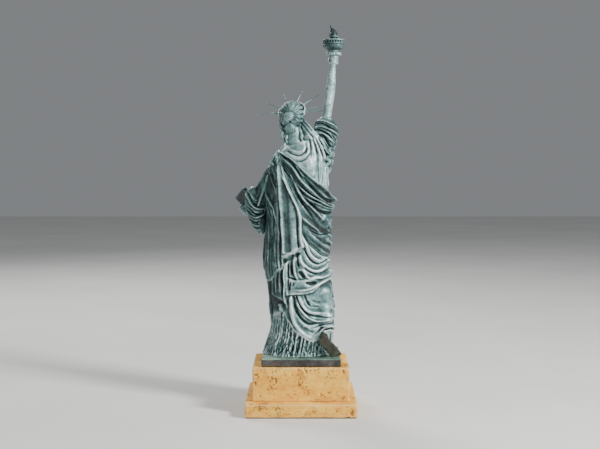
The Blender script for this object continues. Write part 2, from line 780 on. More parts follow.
def stone_material(name):
    """Honed travertine with open pits, brown inside."""
    g = Graph(name)
    bands = g.noise(22.0, 6.0, 0.6, 0.5, g.stretch(1.0, 1.0, 2.6))
    tone = g.blend(bands, g.noise(60.0, 5.0, 0.6), 0.6)
    colour = g.ramp(tone, [
        (0.34, rgb(216, 148, 50)), (0.46, rgb(240, 176, 68)),
        (0.56, rgb(252, 198, 82)), (0.70, rgb(255, 218, 112)),
    ])
    pits = g.noise(330.0, 3.0, 0.55, 0.4, g.stretch(1.0, 1.0, 1.5))
    patch = g.noise(40.0, 3.0, 0.6, 0.4)
    depth = g.math("ADD", pits, g.math("MULTIPLY", g.math("SUBTRACT", patch, 0.5), 0.9))
    hole = g.spread(depth, 0.64, 0.71)
    colour = g.mix(hole, colour, rgb(140, 92, 42))
    stain = g.spread(g.noise(75.0, 4.0, 0.6, 0.6), 0.57, 0.70, 0.0, 0.7)
    colour = g.mix(stain, colour, rgb(170, 112, 50))
    sunk = g.spread(g.attribute("ridge_fine"), -0.1, -0.7, 0.0, 0.85)
    colour = g.mix(sunk, colour, rgb(150, 100, 52))
    worn = g.spread(g.attribute("ridge_broad"), 0.3, 0.9, 0.0, 0.45)
    colour = g.mix(worn, colour, rgb(240, 206, 144))
    normal = g.bump(g.math("SUBTRACT", 1.0, hole), 0.0009, 0.8)
    normal = g.bump(g.noise(1300.0, 2.0, 0.6), 0.0002, 0.6, normal)
    return g.finish(colour, g.spread(tone, 0.3, 0.7, 0.78, 0.62), normal, Specular_IOR_Level=0.35)


def plinth_material(name):
    """Dark brown bronze plate: green bloom on its top, scuffed sides."""
    g = Graph(name)
    facing = g.node("ShaderNodeNewGeometry").outputs["Normal"]
    up = g.node("ShaderNodeSeparateXYZ", Vector=facing).outputs["Z"]
    broad = g.noise(45.0, 5.0, 0.6, 0.4)
    fine = g.noise(300.0, 4.0, 0.6)
    side = g.ramp(g.blend(broad, fine, 0.6), [
        (0.36, rgb(44, 42, 42)), (0.50, rgb(72, 70, 70)), (0.62, rgb(98, 94, 92)),
    ])
    top = g.ramp(g.blend(broad, fine, 0.7), [
        (0.34, rgb(70, 92, 84)), (0.50, rgb(112, 142, 128)), (0.64, rgb(158, 184, 160)),
    ])
    colour = g.mix(g.spread(up, 0.3, 0.8), side, top)
    rust = g.spread(g.noise(70.0, 4.0, 0.6, 0.5), 0.60, 0.70, 0.0, 0.5)
    colour = g.mix(rust, colour, rgb(110, 78, 58))
    normal = g.bump(fine, 0.0005, 0.6)
    return g.finish(colour, g.spread(fine, 0.3, 0.7, 0.42, 0.6), normal, Metallic=0.45)


def sole_material(name):
    """Dark olive brown metal of the sandal's sole, with a little bloom."""
    g = Graph(name)
    broad = g.noise(90.0, 4.0, 0.6, 0.4)
    fine = g.noise(700.0, 4.0, 0.6)
    colour = g.ramp(g.blend(broad, fine, 0.6), [
        (0.32, rgb(26, 27, 22)), (0.50, rgb(58, 57, 46)), (0.66, rgb(96, 94, 78)),
    ])
    bloom = g.spread(g.noise(60.0, 4.0, 0.6, 0.5), 0.55, 0.66, 0.0, 0.5)
    colour = g.mix(bloom, colour, rgb(96, 122, 108))
    return g.finish(colour, g.spread(fine, 0.3, 0.7, 0.45, 0.65), g.bump(fine, 0.0003, 0.6), Metallic=0.2)


def felt_material(name):
    """Green felt with a short nap."""
    g = Graph(name)
    fuzz = g.noise(2200.0, 3.0, 0.7)
    colour = g.ramp(fuzz, [(0.3, rgb(26, 44, 34)), (0.7, rgb(58, 84, 66))])
    return g.finish(colour, 0.95, g.bump(fuzz, 0.0003), Sheen_Weight=0.3)


def steel_material(name):
    """Zinc-plated steel with turning marks."""
    g = Graph(name)
    turned = g.noise(900.0, 3.0, 0.6, 0.0, g.stretch(1.0, 1.0, 12.0))
    colour = g.ramp(turned, [(0.3, rgb(150, 150, 146)), (0.7, rgb(188, 188, 184))])
    return g.finish(colour, g.spread(turned, 0.3, 0.7, 0.28, 0.45), g.bump(turned, 0.0001), Metallic=1.0)


def floor_material(name):
    """A plain pale studio floor."""
    g = Graph(name)
    tone = g.noise(3.0, 3.0)
    colour = g.ramp(tone, [(0.3, rgb(222, 221, 218)), (0.7, rgb(230, 229, 226))])
    return g.finish(colour, 0.85, Specular_IOR_Level=0.2)


BRONZE = patina("bronze_patina", tone=0.01)
BRONZE_PALE = patina("bronze_pale", tone=0.08, green=0.2)
BRONZE_SKIRT = patina("bronze_skirt", tone=0.01, sheltered=0.33)
BRONZE_SASH = patina("bronze_sash", tone=-0.18)
BRONZE_SLEEVE = patina("bronze_sleeve", tone=-0.13)
BRONZE_DARK = patina("bronze_dark", tone=-0.24, green=0.15)
BRONZE_WORN = patina("bronze_worn", tone=-0.06, green=0.15, brown=0.6)
BRONZE_FALL = patina("bronze_fall", sheltered=0.16)
BRONZE_GREEN = patina("bronze_green", tone=-0.14, green=0.7, brown=0.1)
SOLE_BROWN = sole_material("bronze_sole")
STONE = stone_material("travertine")
PLATE = plinth_material("plinth_bronze")
FELT = felt_material("felt")
STEEL = steel_material("zinc_steel")

for node_name, part_material in (
    ("felt_sheet", FELT), ("base_slab", STONE), ("base_block", STONE), ("plinth", PLATE),
    ("threaded_studs", STEEL), ("washers", STEEL), ("hex_nuts", STEEL),
    ("neck_dowel", STEEL), ("arm_dowel", STEEL),
):
    part_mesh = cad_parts[node_name].data
    for slot_index in range(max(1, len(part_mesh.materials))):
        part_mesh.materials[slot_index] = part_material


# ---------------------------------------------------------------- robe


ROBE_NODES = ["under_tunic", "over_skirt", "upper_robe"]
ROBE_LOW = node_box("under_tunic")[0][2]
ROBE_HIGH = node_box("upper_robe")[1][2]
BODY_R = 45.0
UNEVEN = (7.0, 0.25)  # size and height of the cast cloth's unevenness
PLEATS, SHORT_FOLDS = 62, 420
# Where the sides of the draped body are seen: height, left and right.
BODY_SIDES = [
    (80, -63, 50), (88, -60, 50), (103, -54, 50), (120, -49.5, 51), (129, -48, 51),
    (137, -47, 51), (150, -46.5, 52), (163, -47, 52), (180, -49, 50), (199, -51.5, 48),
    (219, -54.5, 45.5), (243, -54.5, 42.5), (268, -53, 44.5), (290, -51.5, 44), (309, -51.5, 46),
    (320, -52, 47), (342, -51.5, 44), (360, -49, 42.5), (371, -46.5, 42), (385, -42, 41),
    (396, -37, 39), (404, -32, 36), (410, -26, 30), (416, -18, 22), (420, -12, 14),
]
cad_outline = outline_of(ROBE_NODES, ROBE_LOW + 1, ROBE_HIGH - 1)
sides = spline(BODY_SIDES, 0.5)


def body_outline(z):
    """The body's level ellipse: its width as seen, its depth from the CAD."""
    left, right = (np.interp(z, sides[:, 0], sides[:, k]) for k in (1, 2))
    _, cy, _, b = cad_outline(z)
    return [-(left + right) / 2, cy, (right - left) / 2, b]


def apply_folds(cloth, folds, place="seen", gain=1.0):
    """Paints (line, width, height) rows, with the shares that taper off where given, on a cloth.

    A negative height is a crease, and two widths are those at the line's start and end. place says what
    the line's points are: "seen", "front" or "around", as the Drape's functions take them.
    """
    for line, width, height, *rest in folds:
        height *= gain
        taper = rest[0] if rest else (0.25, 0.25)
        where = getattr(cloth, place)(line)
        if height < 0:
            cloth.crease(where, width, -height, taper)
        else:
            cloth.fold(where, width, height, taper)


SKIRT_FOLDS = [
    # long loops over the right hip and thigh
    ([(0, 292), (2, 282), (5, 272), (10, 262), (18, 254), (26, 247), (34, 241), (44, 237)], 6.5, -3.6),
    ([(0, 272), (4, 262), (8, 252), (12, 243), (18, 236), (26, 231), (35, 233)], 9, 3.2),
    ([(2, 264), (5, 252), (8, 243), (12, 236)], 3, -1.6),
    ([(6, 250), (10, 239), (15, 232), (20, 228), (27, 226), (35, 229), (42, 235), (47, 243)], 4.6, -3.4),
    ([(-3, 246), (-1, 232), (4, 224), (10, 219), (18, 215), (27, 215), (36, 220), (43, 228)], 8, 3.0),
    ([(3, 227), (7, 219), (13, 214), (20, 211), (28, 210), (36, 213), (43, 219), (48, 228)], 5.0, -3.6),
    ([(1, 221), (5, 213), (9, 206), (14, 203), (22, 205), (32, 206), (42, 211), (48, 220)], 7, 3.0),
    ([(-3, 215), (2, 208), (6, 203)], 9, -3.0),
    # upright folds below the cloak's panel
    ([(-10, 246), (-11, 225), (-9, 210), (-6, 202), (-3, 196)], 5.5, 3.6),
    ([(-15, 240), (-15, 222), (-14, 207)], 8, -3.4),
    ([(-5, 246), (-5, 228), (-3, 216)], 4, -2.6),
    ([(-22, 206), (-15, 203), (-7, 200)], 3.6, -3.0),
    ([(-34, 226), (-27, 230), (-12, 237), (0, 243)], 10, -5.5),
    ([(-20, 240), (-20, 225), (-20, 208), (-20, 190), (-19, 179)], 4, -2.8),
    ([(-25, 226), (-25, 205), (-24, 190), (-24, 172), (-22, 160), (-22, 152)], 4.6, 3.2),
    ([(-29, 220), (-29, 195), (-29, 174)], 5, -2.8),
    ([(-32, 214), (-32, 203), (-32, 186)], 3, 1.6),
    ([(-37, 216), (-37, 196), (-38, 178)], 4, 2.2),
    ([(-41, 212), (-41, 190), (-40, 177)], 4, -2.8),
    ([(-45, 212), (-45, 180), (-44, 160), (-44, 146)], 4, -2.0),
    ([(-52, 206), (-50, 185), (-48, 165), (-46, 144)], 6, 2.6),
    ([(-34, 165), (-31, 157), (-33, 151)], 10, 2.2),
    # the bunched fold behind the knee
    ([(-12, 185), (0, 184), (12, 186), (22, 191), (31, 197), (43, 205)], 6, 2.0),
    ([(5, 196), (15, 195), (24, 197)], 8, -3.0),
    ([(-16, 199), (-17, 190), (-18, 182)], 4, -2.2),
    ([(-10, 197), (-13, 190)], 3, -1.5),
    ([(16, 180), (25, 186), (33, 194), (45, 202)], 2.6, -1.6),
    # the calf, the lifted heel and the creases on it
    ([(36, 190), (42, 170), (42, 150)], 30, 3.6),
    ([(34, 165), (38, 145), (40, 132), (40, 124)], 30, 7.0, (0.6, 0.1)),
    ([(46, 184), (46, 165), (45, 150)], 6, 0.9),
    ([(16, 169), (23, 166), (32, 165)], 3.2, -2.0),
    ([(18, 164), (23, 162), (30, 160)], 2.6, 1.3),
    ([(17, 160), (22, 158), (28, 159)], 2.8, -1.6),
    ([(10, 168), (13, 160)], 6, -2.2),
    # loops from the knee to the heel
    ([(-5, 176), (-1, 168), (4, 158), (11, 151), (22, 148), (37, 149)], 8, 2.6, (0.1, 0.3)),
    ([(5, 178), (8, 170), (11, 163), (17, 157)], 5, -2.6),
    ([(-8, 177), (-4, 165), (0, 157), (6, 150), (14, 145), (24, 143), (34, 142), (43, 143)], 4.6, -3.4,
     (0.08, 0.3)),
    ([(-7, 170), (-3, 158), (2, 150), (8, 143), (16, 138), (26, 135), (35, 137), (46, 140)], 4.2, 2.8,
     (0.1, 0.3)),
    ([(-12, 176), (-10, 160), (-6, 150), (-1, 141), (5, 135), (12, 131), (20, 131), (29, 132)], 7, -4.2,
     (0.08, 0.3)),
    ([(-16, 176), (-15, 160), (-13, 145), (-10, 133), (-4, 123), (4, 115), (12, 110), (21, 107)], 10, 3.4,
     (0.08, 0.3)),
    ([(-27, 149), (-22, 140), (-16, 131), (-11, 122), (-4, 115), (4, 109), (12, 104), (21, 102)], 5, 1.6),
    ([(3, 126), (12, 120), (23, 117)], 9, -1.6),
    ([(10, 123), (19, 124), (27, 127), (36, 131), (44, 133), (54, 134)], 3.2, -2.2),
    ([(20, 112), (27, 119), (34, 126)], 4.0, -1.4),
    ([(28, 112), (32, 121), (39, 127), (47, 129), (53, 124), (56, 115)], 5, 2.4),
    ([(32, 112), (38, 119), (45, 121), (51, 117), (54, 112)], 4, 2.0),
    ([(30, 111), (35, 121), (45, 125), (52, 120), (55, 113)], 2.6, -1.6),
]

SASH_FOLDS = [
    # fan of folds gathered at the left shoulder
    ([(-28, 379), (-22, 369), (-15, 360)], 2.8, -2.6),
    ([(-36, 395), (-31, 378), (-26, 364), (-21, 352)], 2.6, 1.6),
    ([(-36, 394), (-29, 382), (-23, 371), (-18, 362)], 2.2, -1.6),
    ([(-27, 385), (-20, 375), (-15, 366), (-12, 357)], 3.2, 1.8),
    ([(-31, 374), (-25, 362), (-21, 352), (-16, 342), (-11, 330), (-6, 320), (-2, 308)], 4.4, -3.2),
    ([(-34, 392), (-27, 383), (-20, 374), (-14, 365), (-9, 357)], 2.6, -2.2),
    ([(-33, 396), (-25, 387), (-17, 378), (-11, 368)], 3.2, 1.7),
    ([(-32, 400), (-22, 391), (-12, 381), (-5, 371), (1, 361), (7, 352)], 2.8, -2.2),
    # rolls that cross the back to the right hip
    ([(-30, 403), (-20, 396), (-9, 386), (2, 373), (11, 363), (21, 354), (31, 345), (41, 335), (50, 326),
     (58, 319)], 7, 3.2, (0.25, 0.05)),
    ([(40, 333), (50, 325), (58, 318)], 9, 3.0, (0.5, 0.02)),
    ([(-12, 386), (-5, 376), (1, 366), (8, 357), (15, 348)], 4.2, 2.0),
    ([(0, 367), (9, 355), (18, 344), (28, 334), (37, 327), (46, 321), (56, 316)], (4, 13), -6.5, (0.3, 0.05)),
    ([(-30, 396), (-22, 389), (-14, 380), (-8, 370), (-3, 360), (3, 352), (10, 344), (17, 337), (24, 331),
     (32, 325)], 8, 3.8),
    ([(-8, 356), (-2, 349), (6, 341), (14, 335), (22, 330), (31, 325)], 2.6, -2.8),
    ([(-8, 353), (0, 344), (7, 337), (15, 331), (25, 325), (33, 320), (42, 316), (52, 315)], 3.6, 2.4),
    ([(-5, 346), (2, 337), (10, 330), (20, 325), (30, 321)], 3, -2.4),
    ([(10, 328), (18, 323), (28, 318), (38, 314), (50, 312)], 3, 1.9),
    ([(24, 327), (34, 321), (43, 318)], 2, 1.0),
    ([(4, 333), (12, 322), (20, 315), (28, 309), (38, 306), (52, 307)], 7.5, -4.8),
    ([(-12, 358), (-6, 344), (0, 332), (6, 323), (13, 316), (20, 308), (26, 301), (32, 294)], 5.2, 3.2),
    ([(-10, 348), (-5, 335), (1, 322), (8, 312), (14, 303), (22, 293)], 5, -2.2),
    # hip, and the first loops below it
    ([(3, 308), (12, 297), (22, 287), (32, 279), (43, 273)], 14, -3.0),
    ([(28, 303), (36, 295), (42, 287)], 20, 3.2),
    ([(-1, 302), (6, 294), (14, 287), (22, 281), (29, 275)], 7, 3.4),
    ([(8, 283), (16, 277), (24, 273), (32, 272), (43, 275)], 3.6, -2.4),
    ([(8, 279), (14, 271), (22, 263), (31, 256), (41, 250)], 10, 2.6),
    ([(35, 266), (43, 255)], 18, 2.0),
]

PANEL_FOLDS = [
    ([(-29, 392), (-29, 365), (-28, 345), (-26, 320), (-25, 295), (-24, 268), (-24, 241)], 6, 4.6,
     (0.2, 0.02)),
    ([(-28, 390), (-25, 372), (-21, 356), (-15, 340), (-9, 325), (-4, 309), (-2, 295), (-2, 278), (-1, 262),
     (2, 251)], 6, 3.6, (0.15, 0.02)),
    ([(-24, 372), (-21, 345), (-19, 310), (-18, 270), (-17, 243)], 9, -1.2, (0.2, 0.02)),
    ([(-14, 332), (-12, 310), (-11, 285), (-11, 262), (-10, 245)], 10, 1.2, (0.2, 0.02)),
    ([(-6, 304), (-6, 280), (-5, 262), (-4, 248)], 4, -1.4, (0.2, 0.02)),
    ([(-31, 380), (-33, 345), (-32, 300), (-31, 260), (-30, 216)], 6, -4.2, (0.15, 0.05)),
    ([(-50, 396), (-51, 372), (-51, 350), (-50, 337), (-46, 327), (-42, 317), (-39, 307), (-37, 298),
     (-35, 287)], 6, 3.6),
    ([(-57, 350), (-54, 334), (-51, 321), (-47, 309), (-43, 298)], 6, -3.8),
    ([(-47, 376), (-44, 364), (-41, 355), (-38, 345), (-36, 334)], 3.0, 2.2),
    ([(-40, 397), (-39, 378), (-38, 365), (-38, 351)], 3.0, 2.4),
    ([(-40, 396), (-35, 378), (-33, 362), (-31, 348)], 2.8, 2.2),
    ([(-41, 396), (-47, 380), (-52, 362), (-55, 346)], 3.2, 2.2),
    ([(-42, 392), (-50, 374), (-54, 358)], 3.0, -2.6),
    ([(-43, 394), (-43, 380), (-42, 368)], 3.4, -3.4),
    ([(-35, 392), (-34, 368), (-34, 350)], 3, -2.2),
    ([(-40, 340), (-41, 310), (-40, 282), (-39, 250)], 8, -2.2),
    ([(-38, 293), (-39, 280), (-39, 262), (-38, 236)], 3.4, 1.6),
    ([(-47, 292), (-47, 255), (-46, 203)], 5, 2.0, (0.2, 0.02)),
    ([(-54, 280), (-55, 245), (-56, 206)], 5, 2.0, (0.2, 0.02)),
    ([(-51, 286), (-51, 250), (-50, 203)], 3.6, -2.2, (0.2, 0.02)),
    ([(-43, 282), (-43, 250), (-42, 207)], 3.2, -1.8, (0.2, 0.02)),
    ([(-35, 284), (-36, 255), (-35, 218)], 3.2, -1.8, (0.2, 0.02)),
]

# Folds of the cloak where it passes over the left shoulder to the front, as degrees round and height.
SHOULDER_DRAPE = [
    ([(100, 300), (96, 340), (92, 378), (88, 412)], 5, 2.6),
    ([(106, 300), (103, 345), (101, 385), (98, 412)], 3.6, -2.4),
    ([(113, 305), (110, 345), (109, 385), (107, 412)], 5, 2.8),
    ([(120, 312), (118, 350), (117, 388), (116, 412)], 3.6, -2.6),
    ([(127, 322), (125, 355), (125, 388), (125, 412)], 4.6, 2.4),
    ([(132, 334), (132, 362), (133, 392)], 3, -2.0),
    ([(62, 372), (66, 392), (70, 414)], 4.4, 2.4),
    ([(70, 366), (74, 388), (77, 414)], 3.2, -2.4),
    ([(52, 380), (55, 396), (58, 414)], 3.2, -2.0),
    ([(76, 350), (80, 380), (83, 410)], 4, 1.8),
]

TORSO_FOLDS = [
    ([(12, 397), (16, 378), (20, 360)], 26, 2.4),
    ([(18, 418), (22, 405), (26, 393), (28, 375), (29, 355), (31, 343)], 3.6, -2.4),
    ([(24, 415), (28, 405), (32, 395), (33, 385), (33, 370), (32, 350)], 4.2, 1.8),
    ([(24, 418), (30, 406), (36, 395), (37, 380)], 3, -1.9),
    ([(38, 374), (36, 355), (38, 343)], 3.2, 1.4),
    ([(35, 380), (35, 360), (34, 348)], 2.6, -1.8),
    ([(41, 368), (38, 350)], 3.4, -2.2),
    ([(-24, 397), (-12, 389), (-2, 388), (5, 392)], 3, -0.7),
    ([(11, 416), (14, 403), (12, 391)], 2.6, -1.3),
]

FRONT_TORSO = [
    ([(-20, 386), (-14, 372), (-14, 360)], 26, 4.0),
    ([(24, 386), (20, 372), (20, 360)], 26, 4.0),
    ([(-26, 408), (-14, 392), (4, 384), (22, 392), (32, 404)], 4.5, 2.2),
    ([(-24, 402), (-13, 385), (4, 377), (21, 385), (31, 397)], 3.2, -1.8),
    ([(-25, 396), (-12, 378), (4, 370), (20, 378), (30, 390)], 4.2, 1.6),
    ([(34, 398), (20, 374), (2, 352), (-18, 334), (-40, 322)], 7, 3.6),
    ([(36, 390), (24, 366), (8, 344), (-12, 326), (-40, 308)], 3.6, -2.6),
    ([(38, 384), (28, 358), (12, 334), (-8, 316), (-38, 296)], 8, 3.8),
    ([(40, 374), (32, 348), (18, 324), (-2, 304), (-34, 282)], 4, -2.8),
    ([(41, 366), (35, 340), (23, 314), (4, 294), (-28, 270)], 8, 3.6),
    ([(42, 356), (38, 330), (28, 304), (12, 284), (-16, 262)], 4, -2.6),
    ([(43, 348), (40, 320), (33, 294), (20, 274), (-4, 258)], 7, 3.0),
    ([(44, 336), (43, 310), (40, 284), (34, 262)], 4, -2.2),
    ([(-38, 380), (-40, 360), (-38, 340)], 4, -2.0),
    ([(-32, 376), (-33, 356), (-30, 342)], 4, 1.6),
]

FRONT_SKIRT = [
    ([(-30, 244), (-33, 210), (-36, 170), (-36, 122)], 9, 3.2),
    ([(-22, 246), (-25, 205), (-28, 160), (-29, 118)], 4, -2.8),
    ([(-15, 246), (-17, 205), (-20, 165), (-21, 116)], 8, 3.0),
    ([(-8, 246), (-9, 200), (-12, 160), (-12, 114)], 4.5, -3.0),
    ([(-1, 246), (0, 200), (-3, 160), (-4, 112)], 8, 3.0),
    ([(7, 246), (9, 210), (6, 170), (4, 114)], 4, -2.6),
    ([(14, 244), (20, 215), (22, 185), (20, 150), (16, 116)], 16, 5.0),
    ([(26, 240), (32, 205), (32, 165), (28, 120)], 4.4, -2.8),
    ([(34, 246), (39, 210), (39, 170), (35, 124)], 8, 3.0),
    ([(-40, 246), (-44, 205), (-45, 165), (-43, 128)], 4, -2.4),
    ([(41, 240), (45, 205), (44, 165), (40, 128)], 4, -2.4),
    ([(10, 226), (22, 216), (34, 222)], 4, -1.6),
    ([(8, 214), (22, 203), (36, 211)], 4, -1.5),
]

# Folds that carry the cloth round the figure's sides, as degrees round from the back and height.
SASH_SIDE = [
    ([(-56, z + 6), (-74, z - 1), (-92, z - 3), (-116, z + 3)], 6.5, 1.8, (0.3, 0.15))
    for z in (313, 298, 287, 273, 260, 250)
] + [
    ([(-58, 325), (-75, 318), (-95, 316), (-120, 322)], 8, 3.2, (0.05, 0.2)),
] + [
    ([(-60, z + 6), (-76, z - 1), (-92, z - 3), (-112, z + 2)], 3.2, -2.8, (0.2, 0.15))
    for z in (307, 293.5, 280.5, 268, 256)
]
SKIRT_SIDE = [
    ([(-62, z + 5), (-80, z - 3), (-97, z - 2), (-112, z + 8)], 6, 2.4)
    for z in (236, 219, 203)
] + [
    ([(-64, z + 5), (-80, z - 3), (-96, z - 2), (-108, z + 6)], 3.6, -2.6)
    for z in (228, 211)
] + [
    ([(-64, z), (-80, z - 4), (-96, z + 2), (-106, z + 14)], 4.5, 2.0)
    for z in (176, 160, 145, 131)
] + [
    ([(a + 3, 244), (a - 2, 205), (a + 3, 165), (a, 126)], 8, 2.8)
    for a in (-126, -111, 78, 94, 109, 124, 140)
] + [
    ([(a + 3, 242), (a - 2, 205), (a + 3, 165), (a, 124)], 4, -2.8)
    for a in (-118, 71, 86, 101, 116, 132)
]
TORSO_SIDE = [
    ([(a - 6, 388), (a + 2, 366), (a, 342)], 4.5, 2.2)
    for a in (-66, -84, -102, -120)
] + [
    ([(a - 5, 386), (a + 2, 366), (a, 344)], 3, -2.4)
    for a in (-75, -93, -111)
]

torso = Drape(body_outline, 238, 420, BODY_R)
apply_folds(torso, TORSO_FOLDS)
apply_folds(torso, FRONT_TORSO, "front")
apply_folds(torso, TORSO_SIDE, "around")
torso.lumps(*UNEVEN, 11)

skirt = Drape(body_outline, 92, 306, BODY_R)
skirt.layer(skirt.seen([
    (-22, 176), (-10, 177), (6, 178), (18, 181), (31, 192), (44, 201), (60, 206),
    (60, 216), (20, 203), (0, 200), (-8, 200), (-22, 204),
]), 2.4)
skirt.layer(skirt.seen([
    (-45, 178), (-36, 172), (-30, 169), (-23, 163), (-19, 175), (-21, 240), (-46, 230),
]), 2.0)
apply_folds(skirt, SKIRT_FOLDS, gain=1.3)
apply_folds(skirt, FRONT_SKIRT, "front")
apply_folds(skirt, SKIRT_SIDE, "around")
skirt.lumps(*UNEVEN, 12)

sash = Drape(body_outline, 232, 416, BODY_R)
apply_folds(sash, SASH_FOLDS, gain=1.35)
apply_folds(sash, SKIRT_FOLDS[:1])
apply_folds(sash, SASH_SIDE, "around")
sash.lumps(*UNEVEN, 13)
SASH_EDGE = np.vstack([
    sash.seen([
        (-36, 405), (-20, 398), (-8, 388), (4, 375), (13, 365), (23, 356), (33, 347), (43, 337), (53, 327),
        (58, 320),
    ]),
    sash.around([(-100, 314), (-124, 300), (-126, 262), (-100, 240)]),
    sash.seen([
        (50, 238), (44, 236), (34, 240), (26, 246), (18, 253), (10, 261), (5, 271), (2, 281), (-1, 292),
        (-4, 303), (-9, 312), (-15, 330), (-23, 345), (-29, 365), (-37, 385),
    ]),
])

panel = Drape(body_outline, 186, 420, BODY_R)
panel.layer(panel.seen([
    (-30, 410), (-29, 345), (-28, 236), (6, 236), (6, 290), (2, 300),
    (-2, 308), (-6, 320), (-11, 331), (-17, 344), (-22, 357), (-24, 410),
]), 3.4, 2.0)
apply_folds(panel, PANEL_FOLDS)
apply_folds(panel, SHOULDER_DRAPE, "around")
panel.lumps(*UNEVEN, 14)
PANEL_EDGE = np.vstack([
    panel.seen([
        (-40, 405), (-33, 398), (-29, 388), (-27, 378), (-25, 368), (-21, 357),
        (-16, 344), (-10, 331), (-5, 320), (-1, 308), (1, 300), (0, 290), (1, 275),
        (2, 264), (4, 252), (-4, 249), (-12, 244), (-22, 238), (-28, 236), (-28, 217),
        (-33, 216), (-38, 211), (-41, 205), (-45, 200), (-50, 199), (-56, 203),
    ]),
    panel.around([
        (84, 212), (98, 236), (106, 262), (124, 296), (134, 330), (140, 365), (148, 395), (150, 421),
    ]),
    panel.around([(60, 421)]),
    panel.seen([(-27, 414)]),
])

# The under-tunic: long pleats with creases between them, then short broken folds where it spreads.
tunic = Drape(body_outline, 82, 176, BODY_R)
for number in range(PLEATS):
    angle = -180 + 360 * (number + RNG.uniform(-0.35, 0.35)) / PLEATS
    bend = RNG.uniform(-4, 4)
    path = [(angle, 172), (angle + bend * 0.4, 140), (angle + bend, 112)]
    path.append((angle + bend * 1.3 + RNG.uniform(-3, 3), 85))
    tunic.fold(tunic.around(path), RNG.uniform(2.6, 4.4), RNG.uniform(1.0, 2.4), (0.1, 0.02))
    half = angle + 3 + RNG.uniform(-1, 1)
    path = [(half, 170), (half + bend * 0.5, 128), (half + bend, 88)]
    tunic.crease(tunic.around(path), 2.0, 1.2, (0.1, 0.1))
for number in range(SHORT_FOLDS):
    angle, z = RNG.uniform(-180, 180), 86 + 50 * RNG.random() ** 1.6
    lean = RNG.choice([-1, 1]) * RNG.uniform(3, 9)
    height = RNG.uniform(0.7, 1.7) * (1 if number % 2 else -1.2)
    path = tunic.around([(angle, z + 6), (angle + lean * 0.5, z), (angle + lean, z - 7)])
    tunic.fold(path, RNG.uniform(1.6, 2.8), height, (0.3, 0.3))
tunic.lumps(3.4, 0.5, 15)


def hem_cut(cloth, lower, upper):
    """A map that trims a ring of cloth between two wavy edges, given as lines of map places."""
    low = np.interp(cloth.s, lower[:, 0], lower[:, 1])
    high = np.interp(cloth.s, upper[:, 0], upper[:, 1])
    z = cloth.z[:, None]
    lean = np.sqrt(1 + np.gradient(low, MAP_CELL) ** 2)
    return np.maximum((low[None, :] - z) / lean[None, :], z - high[None, :]).astype(np.float32)


SKIRT_HEM = np.vstack([
    skirt.around([(-185, 108), (-165, 112), (-140, 106), (-115, 112), (-98, 120)]),
    skirt.seen([
        (60, 126), (52, 117), (44, 118), (36, 115), (31, 108), (26, 103), (18, 101), (10, 105), (0, 111),
        (-8, 117), (-14, 124), (-19, 133), (-24, 141), (-28, 150), (-36, 148), (-42, 146), (-46, 143),
    ]),
    skirt.around([(82, 138), (105, 128), (130, 114), (155, 118), (175, 108), (185, 108)]),
])
SKIRT_TOP = np.vstack([
    skirt.around([(-185, 252), (-120, 252), (-104, 248)]),
    skirt.seen([(48, 244), (34, 250), (22, 262), (12, 276), (4, 300)]),
    skirt.around([(20, 303), (70, 303), (100, 262), (130, 252), (185, 252)]),
])
SKIRT_CUT = hem_cut(skirt, SKIRT_HEM, SKIRT_TOP)

FRONT_SWAG = [
    ([(-56, 291), (-24, 283), (10, 294), (36, 320), (52, 340)], 6, 3.4, (0.05, 0.1)),
    ([(-56, 283), (-24, 274), (12, 285), (40, 310), (56, 328)], 3.6, -3.0, (0.05, 0.1)),
    ([(-56, 275), (-22, 265), (14, 275), (42, 300), (58, 318)], 6.5, 3.4, (0.05, 0.1)),
    ([(-56, 266), (-20, 256), (16, 265), (44, 289), (58, 306)], 4, -3.0, (0.05, 0.1)),
    ([(-56, 257), (-18, 247), (18, 255), (46, 278), (60, 294)], 7, 3.2, (0.05, 0.1)),
    ([(-56, 248), (-16, 239), (20, 246), (47, 268), (60, 283)], 3.6, -2.4, (0.05, 0.1)),
    ([(-20, 278), (8, 286), (30, 304)], 2.2, 1.2),
    ([(-8, 262), (18, 270), (38, 288)], 2.2, 1.2),
]
swag = Drape(body_outline, 222, 362, BODY_R)
apply_folds(swag, FRONT_SWAG, "front")
swag.lumps(*UNEVEN, 16)
SWAG_EDGE = swag.front([
    (-57, 300), (-40, 295), (-24, 291), (-6, 294), (12, 303), (26, 315), (38, 330),
    (50, 347), (60, 350), (62, 300), (60, 284), (54, 272), (44, 260), (30, 247),
    (16, 238), (0, 233), (-16, 231), (-34, 235), (-48, 240), (-57, 243),
])

for cloth in (torso, skirt, sash, panel, swag):
    cloth.settle(DEEPEST)

SASH_CUT, PANEL_CUT, SWAG_CUT = sash.cut(SASH_EDGE), panel.cut(PANEL_EDGE), swag.cut(SWAG_EDGE)


def tuck_under(cloth, covers):
    """Sinks a cloth wherever others lie over it, so that only the top one shows.

    covers holds (cloth, cut) pairs.
    """
    for row, z in enumerate(cloth.z):
        cover = np.zeros(len(cloth.s))
        for upper, cut in covers:
            if upper.z[0] <= z <= upper.z[-1]:
                inside = -upper.row(cut, z) - TUCK_START
                cover = np.maximum(cover, smooth01(inside / TUCK_RUN))
        cloth.height[row] -= TUCK * cover


def height_over(cloth, edge):
    """How far each map place lies above a line of map places that goes round."""
    return cloth.z[:, None] - np.interp(cloth.s, edge[:, 0], edge[:, 1])[None, :]


torso.height -= TUCK * smooth01((-height_over(torso, SKIRT_TOP) - 4) / 8)
tuck_under(torso, [(sash, SASH_CUT), (panel, PANEL_CUT), (swag, SWAG_CUT)])
tuck_under(skirt, [(sash, SASH_CUT), (panel, PANEL_CUT), (swag, SWAG_CUT)])
tuck_under(sash, [(panel, PANEL_CUT)])
tunic.height -= 5.5 * smooth01((height_over(tunic, SKIRT_HEM) - 1) / 8)


